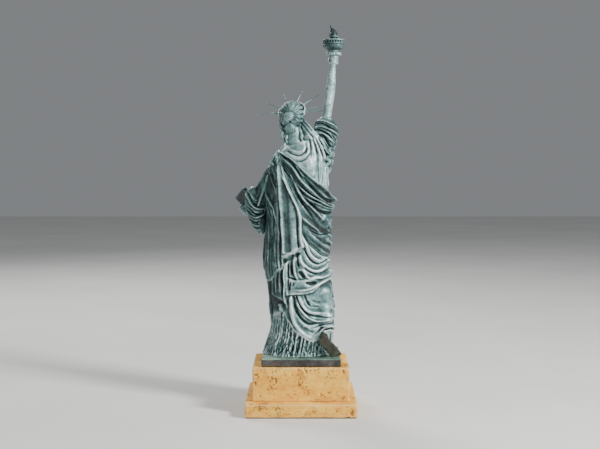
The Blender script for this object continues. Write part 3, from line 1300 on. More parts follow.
def body_field(low_z, high_z, step=VOXEL):
    """Room for the whole body between two heights."""
    return Field((-66, -58, low_z), (70, 64, high_z), step)


field = body_field(ROBE_LOW, 172)
field.drape(tunic, lift=-1.8, low=ROBE_LOW, high=168)
field_piece("tunic_hem", field, BRONZE, replaces=("under_tunic",))

field = body_field(96, 306, SKIRT_VOXEL)
field.drape(skirt, lift=0.2, depth=4.5, cut=SKIRT_CUT)
field_piece("skirt_drape", field, BRONZE_SKIRT, replaces=("over_skirt",))

field = body_field(240, 436)
field.drape(torso, lift=-1.0, low=241, high=419, rim=3)
field.tube([(-32, -1, 400), (-27, 0, 405), (-19, 1, 411), (-10, 1, 415)], [11.5, 12, 11, 8], k=8)
field.tube([(-2, 5, 426), (-9, 6, 426), (-18, 6, 423), (-28, 2, 418)], [3, 5.5, 8, 9], k=6)
field.ball((7, 4.0, 431), (13.5, 15.0, 24), k=7, cut=True)
# Drapery over the right shoulder and across the shoulder blades.
field.strokes([
    ([(17, 425), (22, 412), (26, 398), (28, 380)], -1.7), ([(19, 425), (25, 413), (29, 400), (32, 384)], 1.7),
    ([(21, 425), (28, 412), (33, 399), (35, 386)], -1.6), ([(24, 424), (31, 412), (36, 399), (38, 386)], 1.9),
    ([(27, 423), (34, 412), (39, 400), (41, 388)], -1.5), ([(15, 424), (18, 411), (21, 397), (22, 380)], 1.3),
    ([(13, 422), (15, 408), (16, 392)], -1.2), ([(10, 420), (12, 406), (12, 392)], 1.1),
    ([(7, 417), (8, 405), (7, 394)], -0.9), ([(5, 434), (12, 427), (18, 420)], 1.6),
    ([(8, 437), (14, 430), (20, 423)], -1.2),
], sunk=0.55, k=1.6)
# Shallow curves under the nape.
field.strokes([
    ([(-21, 408), (-13, 403), (-4, 401), (3, 404), (8, 412)], 0.9),
    ([(-22, 403), (-13, 398), (-4, 396), (4, 399), (10, 407)], -0.6),
    ([(-24, 399), (-13, 393), (-3, 391), (6, 395), (12, 403)], 0.9),
    ([(-14, 388), (-3, 386), (7, 390), (14, 399)], -0.5),
], sunk=0.5, k=1.8)
# Curves of the neckline in front.
field.strokes([
    ([(-11, 413), (-3, 404), (6, 402), (16, 405), (24, 413)], 1.5),
    ([(-14, 408), (-4, 397), (6, 395), (17, 398), (27, 407)], -1.2),
    ([(-17, 404), (-5, 391), (6, 388), (19, 392), (30, 402)], 1.7),
    ([(-20, 398), (-7, 383), (6, 380), (20, 384), (32, 396)], -1.2),
], sunk=0.6, k=2.0, front=True)
field_piece("robe_torso", field, BRONZE_PALE, replaces=("upper_robe",))

field = body_field(190, 424)
field.drape(panel, lift=3.2, depth=4.6, cut=PANEL_CUT, high=419.5, rim=2)
field_piece("cloak_fall", field, BRONZE_FALL, replaces=("mantle_panel",))

field = body_field(224, 412)
field.drape(sash, lift=2.8, depth=4.2, cut=SASH_CUT, high=409)
field.drape(swag, lift=2.6, depth=4.4, cut=SWAG_CUT)
field_piece("cloak_sash", field, BRONZE_SASH, replaces=("mantle_sash",))


# ---------------------------------------------------------------- sleeves


def table_outline(rows):
    """Centre and half axes against height, from rows of (z, centre x, centre y, half x, half y)."""
    line = spline(rows, 0.5)
    line = line[np.argsort(line[:, 0])]

    def at(z):
        return [np.interp(z, line[:, 0], line[:, k]) for k in range(1, 5)]

    return at


R_SLEEVE_ROWS = [
    (368, -41, -2, 4, 5), (380, -38, -2, 8, 8), (392, -36, -1, 11, 11), (404, -36.5, -1, 14, 13.5),
    (414, -37.5, -1, 18, 15.5), (428, -38.5, -1, 20, 16.5), (438, -39, -1, 19.5, 15.5),
    (446, -38, -1, 16.8, 13), (451, -38, -1.5, 13, 11), (455, -39.5, -2, 9.5, 9),
]
R_SLEEVE_FOLDS = [
    ([(19, 444), (26, 450), (36, 450), (47, 445), (58, 437)], 4.5, 2.8),
    ([(18, 440), (24, 445), (31, 446), (39, 443), (48, 438), (58, 434)], 3.4, -3.6),
    ([(17, 436), (24, 440), (33, 441), (43, 437), (52, 432), (59, 424)], 4.6, 3.0),
    ([(36, 446), (46, 441), (56, 436)], 2.2, -1.4),
    ([(40, 437), (48, 431), (56, 426)], 2.2, -1.3),
    ([(16, 433), (23, 436), (30, 435), (37, 432), (44, 428), (51, 421), (56, 413)], 3.4, -4.0),
    ([(20, 430), (30, 431), (39, 427), (46, 420), (53, 413)], 5.5, 3.4),
    ([(47, 430), (52, 424), (56, 417)], 4.5, -2.0),
    ([(30, 431), (36, 426), (40, 419), (45, 412), (50, 405)], (3, 8), -4.0, (0.3, 0.1)),
    ([(19, 428), (27, 424), (33, 417), (38, 408), (43, 398), (47, 393)], 8, 3.4),
    ([(24, 427), (30, 420), (34, 410)], 2.4, -1.2),
    ([(19, 421), (25, 417), (30, 410), (35, 401), (39, 392)], 4, -4.0),
    ([(36, 401), (38, 391), (42, 384)], 3, -2.0),
    ([(30, 416), (37, 406), (43, 397), (47, 390)], 3.2, 2.4),
    ([(35, 418), (43, 408), (50, 400)], 2.8, -2.8),
    ([(42, 418), (49, 410), (54, 404)], 3.2, 2.2),
    ([(27, 405), (33, 395), (38, 385)], 3.0, -2.6),
    ([(24, 404), (29, 392), (34, 380)], 3.2, 2.2),
    ([(47, 421), (52, 415), (56, 411)], 2.4, -1.8),
]
R_SLEEVE_FRONT = [
    ([(-22, 440), (-36, 449), (-50, 449)], 3.6, 1.6),
    ([(-21, 436), (-36, 443), (-56, 442)], 3.0, -2.2),
    ([(-20, 433), (-36, 439), (-59, 434)], 5, 2.6),
    ([(-20, 429), (-36, 433), (-58, 424)], 3.2, -4.0),
    ([(-21, 426), (-34, 427), (-56, 414)], 6, 2.8),
    ([(-22, 421), (-33, 419), (-52, 404)], 3.4, -4.0),
    ([(-24, 417), (-34, 411), (-48, 395)], 6, 2.4),
    ([(-26, 411), (-34, 402), (-44, 388)], 3.2, -2.2),
]

# The right sleeve, bunched round the raised arm.
cloth = Drape(table_outline(R_SLEEVE_ROWS), 366, 456, 17.0)
apply_folds(cloth, R_SLEEVE_FOLDS)
apply_folds(cloth, R_SLEEVE_FRONT, "front")
cloth.lumps(4.0, 0.35, 21)
field = Field((-66, -26, 360), (-12, 26, 460), 0.8)
field.drape(cloth, lift=-0.6, rim=2.5)
# The sleeve's gathered lower edge hangs down the side in three zigzag rolls.
for inset, depth in ((0.0, 4.0), (3.5, 9.0), (2.0, -4.0)):
    ruffle = [
        (-53 + inset, 1, 411), (-46.5 + inset, depth, 404), (-49.5 + inset, depth, 398),
        (-44.5 + inset, depth + 1, 392), (-48 + inset, depth, 386),
        (-42.5 + inset, depth + 1, 380), (-45 + inset, depth, 374), (-41 + inset, depth, 369),
    ]
    field.tube(ruffle, [1.6, 2.8, 2.8, 2.6, 2.4, 2.2, 1.8, 1.0], k=1.8)
CUFF_RING = [
    (-33, -2, 453), (-38, -9, 455), (-46, -6, 453), (-47, 2, 452), (-41, 6.5, 453), (-34, 4, 453),
    (-33, -2, 453),
]
field.tube(CUFF_RING, [1.5, 1.5], k=1.2)
field_piece("sleeve_right", field, BRONZE_SLEEVE, replaces=("right_sleeve",))

L_SLEEVE_ROWS = [
    (274, 62, -9, 5, 6), (280, 64, -10, 9.5, 9), (288, 66, -11, 12.5, 12), (300, 68.5, -13, 15, 16),
    (312, 70, -14, 17, 19), (326, 71.5, -14, 18, 20), (338, 71, -13, 16.5, 18), (347, 69, -12, 11, 13),
]
L_SLEEVE_FOLDS = [
    ([(-88, 340), (-84, 330), (-79, 321), (-72, 314), (-62, 312), (-54, 317)], 4.4, 2.6),
    ([(-84, 340), (-80, 330), (-76, 323), (-70, 319), (-63, 320)], 5, -3.4),
    ([(-79, 336), (-76, 330), (-71, 326), (-64, 328)], 3.4, 1.6),
    ([(-74, 336), (-71, 331), (-65, 333)], 3.4, -2.0),
    ([(-82, 322), (-77, 316), (-71, 311)], 1.8, -1.5),
    ([(-90, 328), (-86, 317), (-79, 311), (-74, 306), (-67, 304), (-58, 308)], 3.8, -3.0),
    ([(-90, 318), (-84, 308), (-77, 301), (-69, 299), (-60, 303), (-54, 311)], 4.6, 2.6),
    ([(-86, 311), (-80, 304), (-74, 300)], 1.8, -1.2),
    ([(-88, 308), (-82, 299), (-76, 293), (-70, 291), (-62, 295)], 3.6, -2.8),
    ([(-84, 300), (-79, 293), (-73, 287), (-66, 286), (-59, 291)], 3.8, 2.2),
    ([(-81, 293), (-76, 286), (-70, 283), (-62, 285)], 3, -2.4),
    ([(-77, 288), (-72, 281), (-66, 279), (-60, 282)], 3, 1.8),
    ([(-62, 344), (-57, 330), (-53, 316), (-52, 300)], 3.6, 2.0),
    ([(-66, 344), (-61, 331), (-57, 318), (-57, 304)], 2.6, -2.0),
]
L_SLEEVE_FRONT = [
    ([(56, 318), (64, 306), (76, 306), (86, 320)], 4.4, 2.4),
    ([(56, 310), (65, 298), (75, 299), (86, 312)], 3.6, -2.8),
    ([(56, 302), (66, 291), (75, 292), (84, 304)], 4.4, 2.4),
    ([(58, 294), (66, 284), (74, 285), (81, 296)], 3.4, -2.4),
    ([(54, 326), (64, 315), (78, 314), (88, 324)], 3.4, -2.6),
    ([(52, 334), (63, 323), (77, 321), (89, 331)], 4.6, 2.8),
    ([(52, 340), (62, 331), (75, 329), (88, 337)], 3.4, -2.8),
    ([(54, 346), (62, 338), (74, 336), (85, 343)], 4.0, 2.4),
]

# The left sleeve: a wide sack of cloth below the forearm, and the upper arm above it.
cloth = Drape(table_outline(L_SLEEVE_ROWS), 272, 347, 18.0)
apply_folds(cloth, L_SLEEVE_FOLDS)
apply_folds(cloth, L_SLEEVE_FRONT, "front")
cloth.lumps(4.0, 0.35, 22)
field = Field((44, -38, 270), (94, 16, 378), 0.8)
field.drape(cloth, lift=-0.4, rim=2.5)
field.tube([(43, -3, 376), (49, -4, 358), (58, -6, 342), (65, -8, 326)], [6, 8.5, 9.5, 9], k=6)
for line in (
    [(50, 2, 373), (57, 3, 352), (67, 3, 332), (76, 2, 320)],
    [(53, -3, 374), (62, -4, 352), (73, -6, 333), (82, -8, 320)],
    [(52, -10, 372), (61, -13, 352), (72, -17, 334), (82, -20, 322)],
    [(48, -12, 370), (55, -18, 350), (64, -24, 332), (72, -28, 322)],
    [(46, -9, 362), (50, -16, 342), (56, -22, 326), (64, -26, 314)],
):
    field.tube(line, [1.6, 2.6, 2.6, 1.2], k=1.6)
field.tube([(52, 8, 364), (57, 6, 346), (63, 6, 330), (67, 5, 318)], [1.5, 2.4, 2.4, 1.4], k=1.2)
field.tube([(57, 2, 356), (63, 3, 342), (70, 4, 330)], [1.4, 2.2, 1.2], k=1.2)
field.tube([(86, -36, 303), (77, -24, 305)], [7.5, 6.5], k=1.5, cut=True)
field_piece("sleeve_left", field, BRONZE_GREEN, replaces=("left_sleeve",))


# ---------------------------------------------------------------- raised arm and torch

ARM_LINE = [
    (-36, -1, 430), (-39.5, -2, 452), (-42.3, -2.8, 470), (-44.8, -4, 488),
    (-46.6, -5.2, 506), (-48.2, -6.4, 522), (-49.6, -7.2, 536),
]
ARM_R = [9.0, 7.3, 6.3, 6.7, 7.1, 5.9, 4.6]
GRIP_X, GRIP_Y, GRIP_Z = -51.0, -9.0, 545.0
FINGER_R = 5.3  # how far the fingers' middle lies from the torch's axis

field = Field((-64, -24, 426), (-26, 12, 558), 0.55)
field.tube(ARM_LINE, ARM_R, k=1.0)
field.rod((-42.5, -0.5, 478), (-45.5, -3, 500), 5.6, 6.2, k=3)
field.ball((-50.2, -6.2, 541.5), (5.4, 4.6, 6.0), k=2.5)
field.ball((-50.6, -5.2, 546.5), (5.2, 3.6, 4.6), k=2.0)
# Four fingers round the handle, one above the other.
for finger in range(4):
    bend = []
    for degrees in (60, 100, 150, 195, 235, 270):
        c, s = direction(degrees)
        z = GRIP_Z + 4.9 - 3.15 * finger - 0.008 * (degrees - 90)
        bend.append((GRIP_X + FINGER_R * c, GRIP_Y + FINGER_R * s, z))
    field.tube(bend, [1.7, 2.1, 1.9, 1.9, 1.7, 1.5], k=0.5, gap=0.9)
THUMB = [(-46.5, -6, 539), (-44.6, -8.5, 544), (-46, -12.5, 548.5), (-50, -14.6, 550)]
field.tube(THUMB, [2.6, 2.3, 2.0, 1.6], k=0.7)
field.roughen(5.0, 0.18, 31)
field_piece("arm_and_fist", field, BRONZE_PALE, replaces=("raised_arm",))


def ring_of_rods(count, low, high, radius):
    """Rods round the torch's axis in the current field, between two (radius, z) corners."""
    for number in range(count):
        a = 2 * math.pi * number / count
        c, s = math.cos(a), math.sin(a)
        ends = [(GRIP_X + r * c, GRIP_Y + r * s, z) for r, z in (low, high)]
        field.rod(ends[0], ends[1], radius, k=0.4)


GRIP_PROFILE = [
    (0.0, 517.5), (2.2, 517.8), (3.4, 519.5), (3.5, 521.5), (2.6, 523.5),
    (2.9, 530), (3.4, 538), (3.7, 548), (4.2, 550.5), (9.5, 551.2), (11.6, 552.6),
    (11.6, 555.0), (9.8, 556.4), (8.4, 557.2), (8.4, 559.0), (0.0, 559.0),
]
field = Field((-66, -24, 515), (-36, 6, 562), 0.5)
field.turned(GRIP_X, GRIP_Y, GRIP_PROFILE)
ring_of_rods(20, (11.2, 552.6), (11.2, 555.0), 0.9)
field_piece("torch_grip", field, BRONZE, replaces=("torch_handle",))

BOWL_PROFILE = [
    (0.0, 558.0), (8.8, 558.4), (9.6, 560.6), (12.6, 562.0), (15.2, 563.2), (16.6, 565.6),
    (16.9, 567.6), (15.8, 568.4), (16.4, 569.4), (16.4, 570.6), (15.4, 571.2), (15.4, 573.4),
    (16.8, 574.2), (17.0, 576.0), (15.0, 576.6), (14.2, 575.4), (14.2, 572.4), (9.0, 572.6),
    (6.6, 574.6), (5.2, 577.6), (5.0, 579.0), (7.0, 580.4), (7.0, 581.6), (5.0, 582.4), (0.0, 582.4),
]
field = Field((-72, -30, 555), (-30, 12, 586), 0.5)
field.turned(GRIP_X, GRIP_Y, BOWL_PROFILE)
ring_of_rods(24, (15.8, 570.4), (15.8, 574.6), 0.8)
ring_of_rods(24, (11.0, 561.4), (16.0, 565.4), 0.8)
field_piece("torch_bowl", field, BRONZE_SLEEVE, replaces=("torch_gallery",))

FLAME_TOP = 600.0
field = Field((-64, -20, 578), (-36, 4, 602), 0.45)
core = [
    (-51.0, -9, 582), (-50.6, -9, 585.5), (-49.8, -9, 589), (-48.4, -9, 592.5), (-47.2, -9, 596),
    (-45.6, -9, FLAME_TOP - 1.2),
]
field.tube(core, [5.6, 5.4, 3.6, 2.0, 1.5, 0.6], k=0.8, gap=0.8)
for number in range(5):
    lick = []
    for step in range(7):
        t = step / 6
        a = 2 * math.pi * number / 5 + 2.6 * t + 0.5
        reach = 5.0 * (1 - t) ** 1.5 + 0.6
        lick.append((
            -50.6 + 3.4 * t ** 1.4 + reach * math.cos(a), -9 + reach * math.sin(a) * 0.9,
            583 + (13.0 - 3.0 * (number % 2)) * t,
        ))
    field.tube(lick, [1.9, 2.1, 1.7, 1.2, 0.9, 0.6, 0.35], k=0.5, gap=0.9)
field_piece("flame", field, BRONZE_DARK, replaces=("torch_flame",))


# ---------------------------------------------------------------- left hand and tablet

TABLET_AT = (76.5, -36.0, 312.5)
TABLET_ALONG, TABLET_NORMAL = (0.649, -0.105, 0.754), (-0.6545, -0.582, 0.4824)
TABLET_HALF, BORDER = (33.0, 18.0, 3.0), (29.6, 14.8, 3.0)
tablet = Local(TABLET_AT, TABLET_ALONG, TABLET_NORMAL)

field = Field((48, -62, 276), (112, -10, 350), 0.7)
field.box(TABLET_AT, TABLET_HALF, tablet.turn, edge=1.0)
for side in (1, -1):
    for line in (((1, side), (-1, side)), ((side, 1), (side, -1))):
        ends = tablet.at([(BORDER[0] * x, BORDER[1] * y, BORDER[2]) for x, y in line])
        field.rod(ends[0], ends[1], 0.9, k=0.5)
field.roughen(6.0, 0.22, 41)
field_piece("tablet_plate", field, BRONZE_DARK, replaces=("tablet",))

field = Field((52, -62, 290), (104, -2, 322), 0.55)
field.tube([(62, -8, 312), (74, -18, 309), (83, -26, 306.5), (87, -30, 306.5)], [8.0, 7.2, 6.0, 4.9], k=1.2)
palm = tablet.at([(7.5, -1.5, -8.2), (8.5, -8.5, -8.6)])
field.rod(palm[0], palm[1], 5.4, 5.8, k=2.0)
field.rod((87, -30, 306.5), palm[0], 4.9, 5.2, k=2.0)
# Four fingers round the lower edge: place along the tablet, and how much further than the first it reaches.
for along, reach in ((2.4, 0.0), (6.4, 1.0), (10.4, 0.6), (14.2, -1.0)):
    finger = tablet.at([
        (along, -8.0, -8.2), (along, -14.5 - reach, -8.0), (along, -20.4 - reach * 0.3, -5.6),
        (along, -21.2, -0.5), (along, -18.8, 4.6), (along, -14.6 - reach, 5.2),
    ])
    field.tube(finger, [2.2, 2.3, 2.1, 1.9, 1.8, 1.5], k=0.5, gap=0.9)
thumb = tablet.at([(1.0, -3.0, -7.6), (-4.0, -7.5, -6.8), (-7.0, -13.0, -5.8)])
field.tube(thumb, [2.8, 2.5, 1.9], k=1.0, gap=0.9)
field_piece("hand_left", field, BRONZE, replaces=("left_forearm",))


# ---------------------------------------------------------------- neck and head

HEAD_AT, HEAD_TURN = (14, -2, 454.5), -9.0
head = Local(HEAD_AT, (*direction(HEAD_TURN), 0), (0, 0, 1))

field = Field((-22, -26, 388), (40, 26, 446), 0.7)
# Chest, neck, the two long muscles, the collar bones and the throat.
field.ball((6.5, 0.5, 399), (24, 17, 13), k=4)
field.tube([(7.4, 1.0, 400), (8.2, 1.2, 412), (10.2, 1.0, 424), (12.8, 0, 438)], [13, 9.6, 8.8, 9.4], k=7)
for side in (1, -1):
    muscle = [(12.5 + 7.6 * side, 3, 438), (9.6 + 5.6 * side, -4, 424), (7.2 + 2.2 * side, -10.5, 411)]
    field.tube(muscle, [2.0, 2.3, 1.6], k=3)
field.tube([(-10, -11.5, 406), (-2, -13.6, 407.5), (5, -12.6, 406)], [1.2, 1.5, 1.1], k=2.5)
field.tube([(24, -10.5, 406), (16, -13.2, 407.5), (9.5, -12.6, 406)], [1.2, 1.5, 1.1], k=2.5)
field.ball((9, -8.6, 423), (2.6, 2.6, 3.6), k=3)
field_piece("throat", field, BRONZE_PALE, replaces=("neck",))


field = Field((-8, -28, 424), (36, 22, 482), 0.5)


def head_ball(centre, radii, k=1.0, cut=False):
    """An ellipsoid in the head's own axes, in the current field."""
    field.ball(head.at(centre), radii, k, cut, head.turn)


def head_tube(points, radii, k=0.6, cut=False):
    """A tube in the head's own axes, in the current field."""
    field.tube(head.at(points), radii, k, cut, gap=0.8)


def head_pair(points, radii, k):
    """A tube on the head, and the same on its other side."""
    head_tube(points, radii, k)
    head_tube([(-x, y, z) for x, y, z in points], radii, k)


# Skull, jaw and brow.
head_ball((0, 2.0, 4.5), (16.2, 18.2, 19.4))
head_ball((0, -3.8, -4.6), (11.6, 13.2, 16.6), 5)
head_ball((0, -7.8, 8.0), (12.4, 9.6, 10.6), 5)
JAW = [(10.6, -0.5, -5.5), (8.6, -4.0, -12.0), (4.6, -10.0, -17.6), (0, -12.8, -20.0)]
head_pair(JAW, [2.4, 2.6, 2.8, 3.2], 3.0)
head_ball((0, -14.4, -19.4), (3.4, 2.6, 2.8), 2.0)
# Cheeks, eyes and ears.
for side in (1, -1):
    head_ball((7.2 * side, -12.0, -4.6), (3.8, 3.8, 3.8), 4.0)
    head_ball((6.0 * side, -18.8, 0.6), (4.6, 4.0, 3.2), 2.0, cut=True)
    head_ball((5.9 * side, -13.0, 0.3), (4.1, 3.5, 2.7), 0.4)
    head_ball((15.8 * side, 1.5, -1.5), (2.0, 3.6, 5.6), 0.8)
    head_ball((16.5 * side, 1.0, -0.5), (1.2, 2.1, 3.4), 0.6, cut=True)
# Nose, eyebrows, eyelids.
head_tube([(0, -16.2, 5.0), (0, -17.0, 2.0), (0, -18.4, -2.4), (0, -19.7, -5.6)], [1.3, 0.95, 1.0, 1.35], 1.8)
for side in (1, -1):
    head_ball((1.9 * side, -17.4, -6.3), (1.3, 1.8, 1.15), 0.9)
    head_ball((1.1 * side, -18.6, -7.5), (0.65, 0.8, 0.55), 0.4, cut=True)
EYEBROW = [(1.8, -16.4, 3.6), (5.4, -16.2, 5.0), (8.8, -14.4, 4.6), (11.2, -11.4, 2.6)]
UPPER_LID = [(2.4, -15.3, -0.4), (4.4, -16.6, 2.1), (7.2, -16.2, 2.4), (9.8, -13.4, 0.1)]
LOWER_LID = [(2.4, -15.3, -0.5), (5.0, -16.2, -2.2), (7.6, -15.2, -2.0), (9.7, -13.4, -0.1)]
head_pair(EYEBROW, [0.8, 0.9, 0.8, 0.5], 2.2)
head_pair(UPPER_LID, [0.5, 0.8, 0.8, 0.5], 0.35)
head_pair(LOWER_LID, [0.4, 0.6, 0.6, 0.4], 0.35)
# Mouth and chin.
head_ball((0, -14.8, -11.6), (4.8, 2.7, 3.8), 2.6)
UPPER_LIP = [
    (-4.2, -15.5, -11.4), (-1.9, -17.1, -10.4), (0, -17.4, -10.9), (1.9, -17.1, -10.4), (4.2, -15.5, -11.4),
]
head_tube(UPPER_LIP, [0.4, 0.95, 0.85, 0.95, 0.4], 0.7)
head_tube([(-3.5, -15.6, -12.2), (0, -17.1, -13.2), (3.5, -15.6, -12.2)], [0.4, 1.15, 0.4], 0.7)
head_tube([(-4.2, -16.2, -11.6), (0, -18.3, -11.9), (4.2, -16.2, -11.6)], [0.25, 0.35, 0.25], 0.3, cut=True)
head_ball((0, -18.4, -15.7), (2.4, 1.4, 0.9), 1.4, cut=True)
field_piece("face", field, BRONZE, replaces=("head",))

SKULL = np.array([18.6, 19.2, 21.6])
SKULL_AT = np.array([0, 2.4, 3.2])


def on_skull(turn, back, lift=0.0):
    """A point of the hair: turn goes round from the crown, back from the face to the knot, in degrees."""
    t, b = math.radians(turn), math.radians(back)
    way = np.array([math.sin(t) * math.cos(b), math.sin(b), math.cos(t) * math.cos(b)])
    return SKULL_AT + way * (SKULL + lift)


field = Field((-26, -26, 404), (42, 38, 484), 0.6)
head_ball(SKULL_AT, SKULL - 0.7)
# The face stays free of hair.
field.box(head.at((0, -24, -12)), (15.2, 16, 26), head.turn, edge=5, k=2, cut=True)
field.box(head.at((0, -22, -6)), (13.8, 10.4, 20.5), head.turn, edge=8, k=2, cut=True)

# Strands combed from the forehead and the temples to the bun.
for side in (1, -1):
    for number in range(17):
        turn = 4 + 9.8 * number
        first = -50 if turn < 60 else (-38 if turn < 92 else 6)
        phase = RNG.uniform(0, 6.3)
        strand = []
        for step in range(12):
            t = step / 11
            sway = 5.5 * math.sin(6.5 * t + phase) * (1 - 0.5 * t) - 12 * t * t
            back = first + (74 - first) * t
            strand.append(on_skull(side * (turn + sway), back, 0.4 * math.sin(7 * t + phase) - 0.9))
        head_tube(strand, [1.4, 1.7, 1.9, 1.8, 1.4, 0.9], 1.7)

# Waves that frame the forehead.
for height, out in ((0.0, 0.0), (2.6, -0.9), (5.2, -2.4)):
    wave = [
        (0.6, -15.4 - out * 0.4, 11.6 + height), (4.2, -16.8 - out, 12.4 + height),
        (8.2, -14.8 - out, 9.8 + height), (11.6, -12.4 - out, 8.6 + height), (14.6, -8.2, 4.6 + height),
        (16.6, -4.0, 2.6 + height), (17.6, 0.6, -1.0 + height), (17.8, 4.0, -1.6 + height),
    ]
    head_pair(wave, [1.3, 1.9, 1.8, 2.1, 2.1, 2.2, 2.0, 1.6], 0.6)

# The bun, with diagonal wraps.
KNOT, KNOT_R = np.array([1.6, 19.8, 1.0]), np.array([8.4, 6.0, 7.2])
head_ball(KNOT, KNOT_R - 0.6, 1.2)
for number in range(6):
    offset = -0.82 + 0.33 * number
    wrap = []
    for step in range(9):
        along = (-1 + 2 * step / 8) * math.sqrt(max(1 - offset * offset, 0.1)) * 0.96
        across = offset + 0.22 * along * along
        p, q = along * 0.86 - across * 0.5, along * 0.5 + across * 0.86
        wrap.append(KNOT + KNOT_R * np.array([p, math.sqrt(max(1 - p * p - q * q, 0.02)), q]))
    head_tube(wrap, [0.8, 1.3, 1.5, 1.3, 0.8], 0.7)

# The roll of hair drawn up from the nape.
NAPE, NAPE_R = np.array([0.2, 12.4, -15.4]), np.array([9.8, 7.2, 11.4])
head_ball(NAPE, NAPE_R - 0.5, 2.0)
for number in range(7):
    p = -0.84 + 0.28 * number
    lock = []
    for t in (0.0, 0.2, 0.4, 0.6, 0.8, 1.0):
        q = t * 1.7 - 0.92
        out = math.sqrt(max(1 - p * p * 0.9 - q ** 2, 0.03))
        lock.append(NAPE + NAPE_R * np.array([p * (1 - 0.35 * t), out, q]))
    head_tube(lock, [0.8, 1.5, 1.7, 1.5, 1.2], 0.8)


def ringlet(points, radius, beads):
    """A soft spiral lock: a wavering tube that swells and narrows."""
    line = spline(points, 1.0)
    count = len(line)
    lock = []
    for m, p in enumerate(line):
        a = math.pi * beads * m / (count - 1)
        lock.append(p + np.array([radius * 0.34 * math.sin(a), radius * 0.34 * math.cos(a), 0]))
    radii = []
    for m in range(24):
        swell = 0.84 + 0.2 * math.cos(2 * math.pi * beads * m / 23)
        radii.append(radius * (1 - 0.45 * (m / 23) ** 3) * swell)
    field.tube(lock, radii, k=0.8, gap=0.8)


# Ringlets beside the neck, and locks that lie on the right shoulder.
ringlet([(31, 3, 450), (30, 7, 438), (28, 10, 424), (25.5, 13, 411)], 3.1, 4)
ringlet([(25, 9, 438), (23, 11.5, 427), (22, 13.5, 416)], 2.5, 3)
ringlet([(2, 7, 444), (1.5, 11.5, 434), (-1.0, 14, 425), (-3.5, 15, 416)], 2.7, 3)
for start, middle, bend, end in (
    ((0, 0, 455), (-6, 4, 448), (-13, 7.5, 440), (-21.5, 9, 430)),
    ((-1, 4, 449), (-6, 8, 442), (-12, 11, 435), (-19, 12.5, 426)),
    ((-1, 7, 443), (-5, 11, 436), (-10, 13, 429), (-15, 14.5, 421)),
):
    field.tube([start, middle, bend, end], [1.8, 2.2, 2.5, 1.4], k=0.8)
    back = [np.array(p) + np.array([1.6, -2.6, -2.4]) for p in (start, middle, bend, end)]
    field.tube(back, [2.0, 2.6, 2.8, 2.4], k=1.2)
field_piece("hair", field, BRONZE_WORN, replaces=("hair_knot",))


# ---------------------------------------------------------------- crown

# Its centre, then the lean back, the turn and the tip sideways in degrees.
CROWN_AT, CROWN_LEAN, CROWN_TURN, CROWN_TIP = (14.0, 0.5, 463.0), 50.0, -16.0, 2.6
BAND_HALF = 4.0
RAY_ANGLES = [-2, 15, 50, 83, 116, 149, 182]


def turn_round_z(degrees):
    """The rotation matrix of a turn about the upright axis."""
    c, s = direction(degrees)
    return np.array([[c, -s, 0], [s, c, 0], [0, 0, 1]])


def tip_round_y(degrees):
    """The rotation matrix of a tip towards one side."""
    c, s = direction(degrees)
    return np.array([[c, 0, s], [0, 1, 0], [-s, 0, c]])


lean = math.radians(CROWN_LEAN)
crown_turn = turn_round_z(CROWN_TURN) @ tip_round_y(CROWN_TIP)
crown_x = crown_turn @ np.array([-1.0, 0, 0])
crown_z = crown_turn @ np.array([0, math.cos(lean), math.sin(lean)])
crown = Local(CROWN_AT, crown_x, crown_z)


def flat_spike(base, tip, wide, thick, side, up, rings=9, sides=8):
    """A closed, tapered, flattened spike as triangles."""
    base, tip = np.array(base), np.array(tip)
    verts, faces = [], []
    for m in range(rings):
        t = m / (rings - 1)
        size = 1 - 0.86 * t
        for n in range(sides):
            a = 2 * math.pi * n / sides
            rim = side * wide / 2 * size * math.cos(a) + up * thick / 2 * size * math.sin(a)
            verts.append(base + (tip - base) * t + rim)
    for m in range(rings - 1):
        for n in range(sides):
            a, b = m * sides + n, m * sides + (n + 1) % sides
            c, d = a + sides, b + sides
            faces += [(a, b, c), (b, d, c)]
    verts += [base, tip + (tip - base) * 0.01]
    last = (rings - 1) * sides
    for n in range(sides):
        faces.append((rings * sides, (n + 1) % sides, n))
        faces.append((rings * sides + 1, last + n, last + (n + 1) % sides))
    return verts, faces


verts, faces = [], []
for angle in RAY_ANGLES:
    c, s = direction(angle)
    ends = crown.at([(19.5 * c, 19.5 * s, 0), (56 * c, 56 * s, 0)])
    side = crown.turn @ np.array([-s, c, 0])
    more, triangles = flat_spike(ends[0], ends[1], 3.6, 2.6, side, crown.turn[:, 2])
    faces += [tuple(i + len(verts) for i in face) for face in triangles]
    verts += more
make_piece("rays", np.array(verts), faces, BRONZE_DARK, replaces=("crown_rays",))

field = Field((-16, -28, 436), (44, 30, 490), 0.6)
band = []
for degrees in range(-14, 195, 4):
    c, s = direction(degrees)
    rise = BAND_HALF * (0.55 + 0.45 * math.sin(math.radians(np.clip(degrees, 0, 180))))
    rim = crown.at([(20.4 * c, 20.4 * s, -rise), (20.9 * c, 20.9 * s, rise), (20.6 * c, 20.6 * s, 0)])
    band.append(rim)
band = np.array(band)
for a, b in zip(band[:-1], band[1:]):
    field.rod(a[0], b[0], 0.95, k=0.5)
    field.rod(a[1], b[1], 1.05, k=0.5)
    for part in (0.2, 0.4, 0.6, 0.8):
        field.rod(a[0] * (1 - part) + a[1] * part, b[0] * (1 - part) + b[1] * part, 0.95, k=0.8)
for degrees in range(2, 180, 11):
    c, s = direction(degrees)
    window = (0.9, 1.15, 1.5 * (0.5 + 0.5 * s))
    turn = crown.turn @ turn_round_z(degrees)
    field.box(crown.at((22.2 * c, 22.2 * s, 0.3)), window, turn, edge=0.4, k=0.3, cut=True)
field_piece("tiara", field, BRONZE, replaces=("diadem",))


# ---------------------------------------------------------------- feet

FOOT_LOW = 85.0  # just inside the plinth's top, where a foot may end
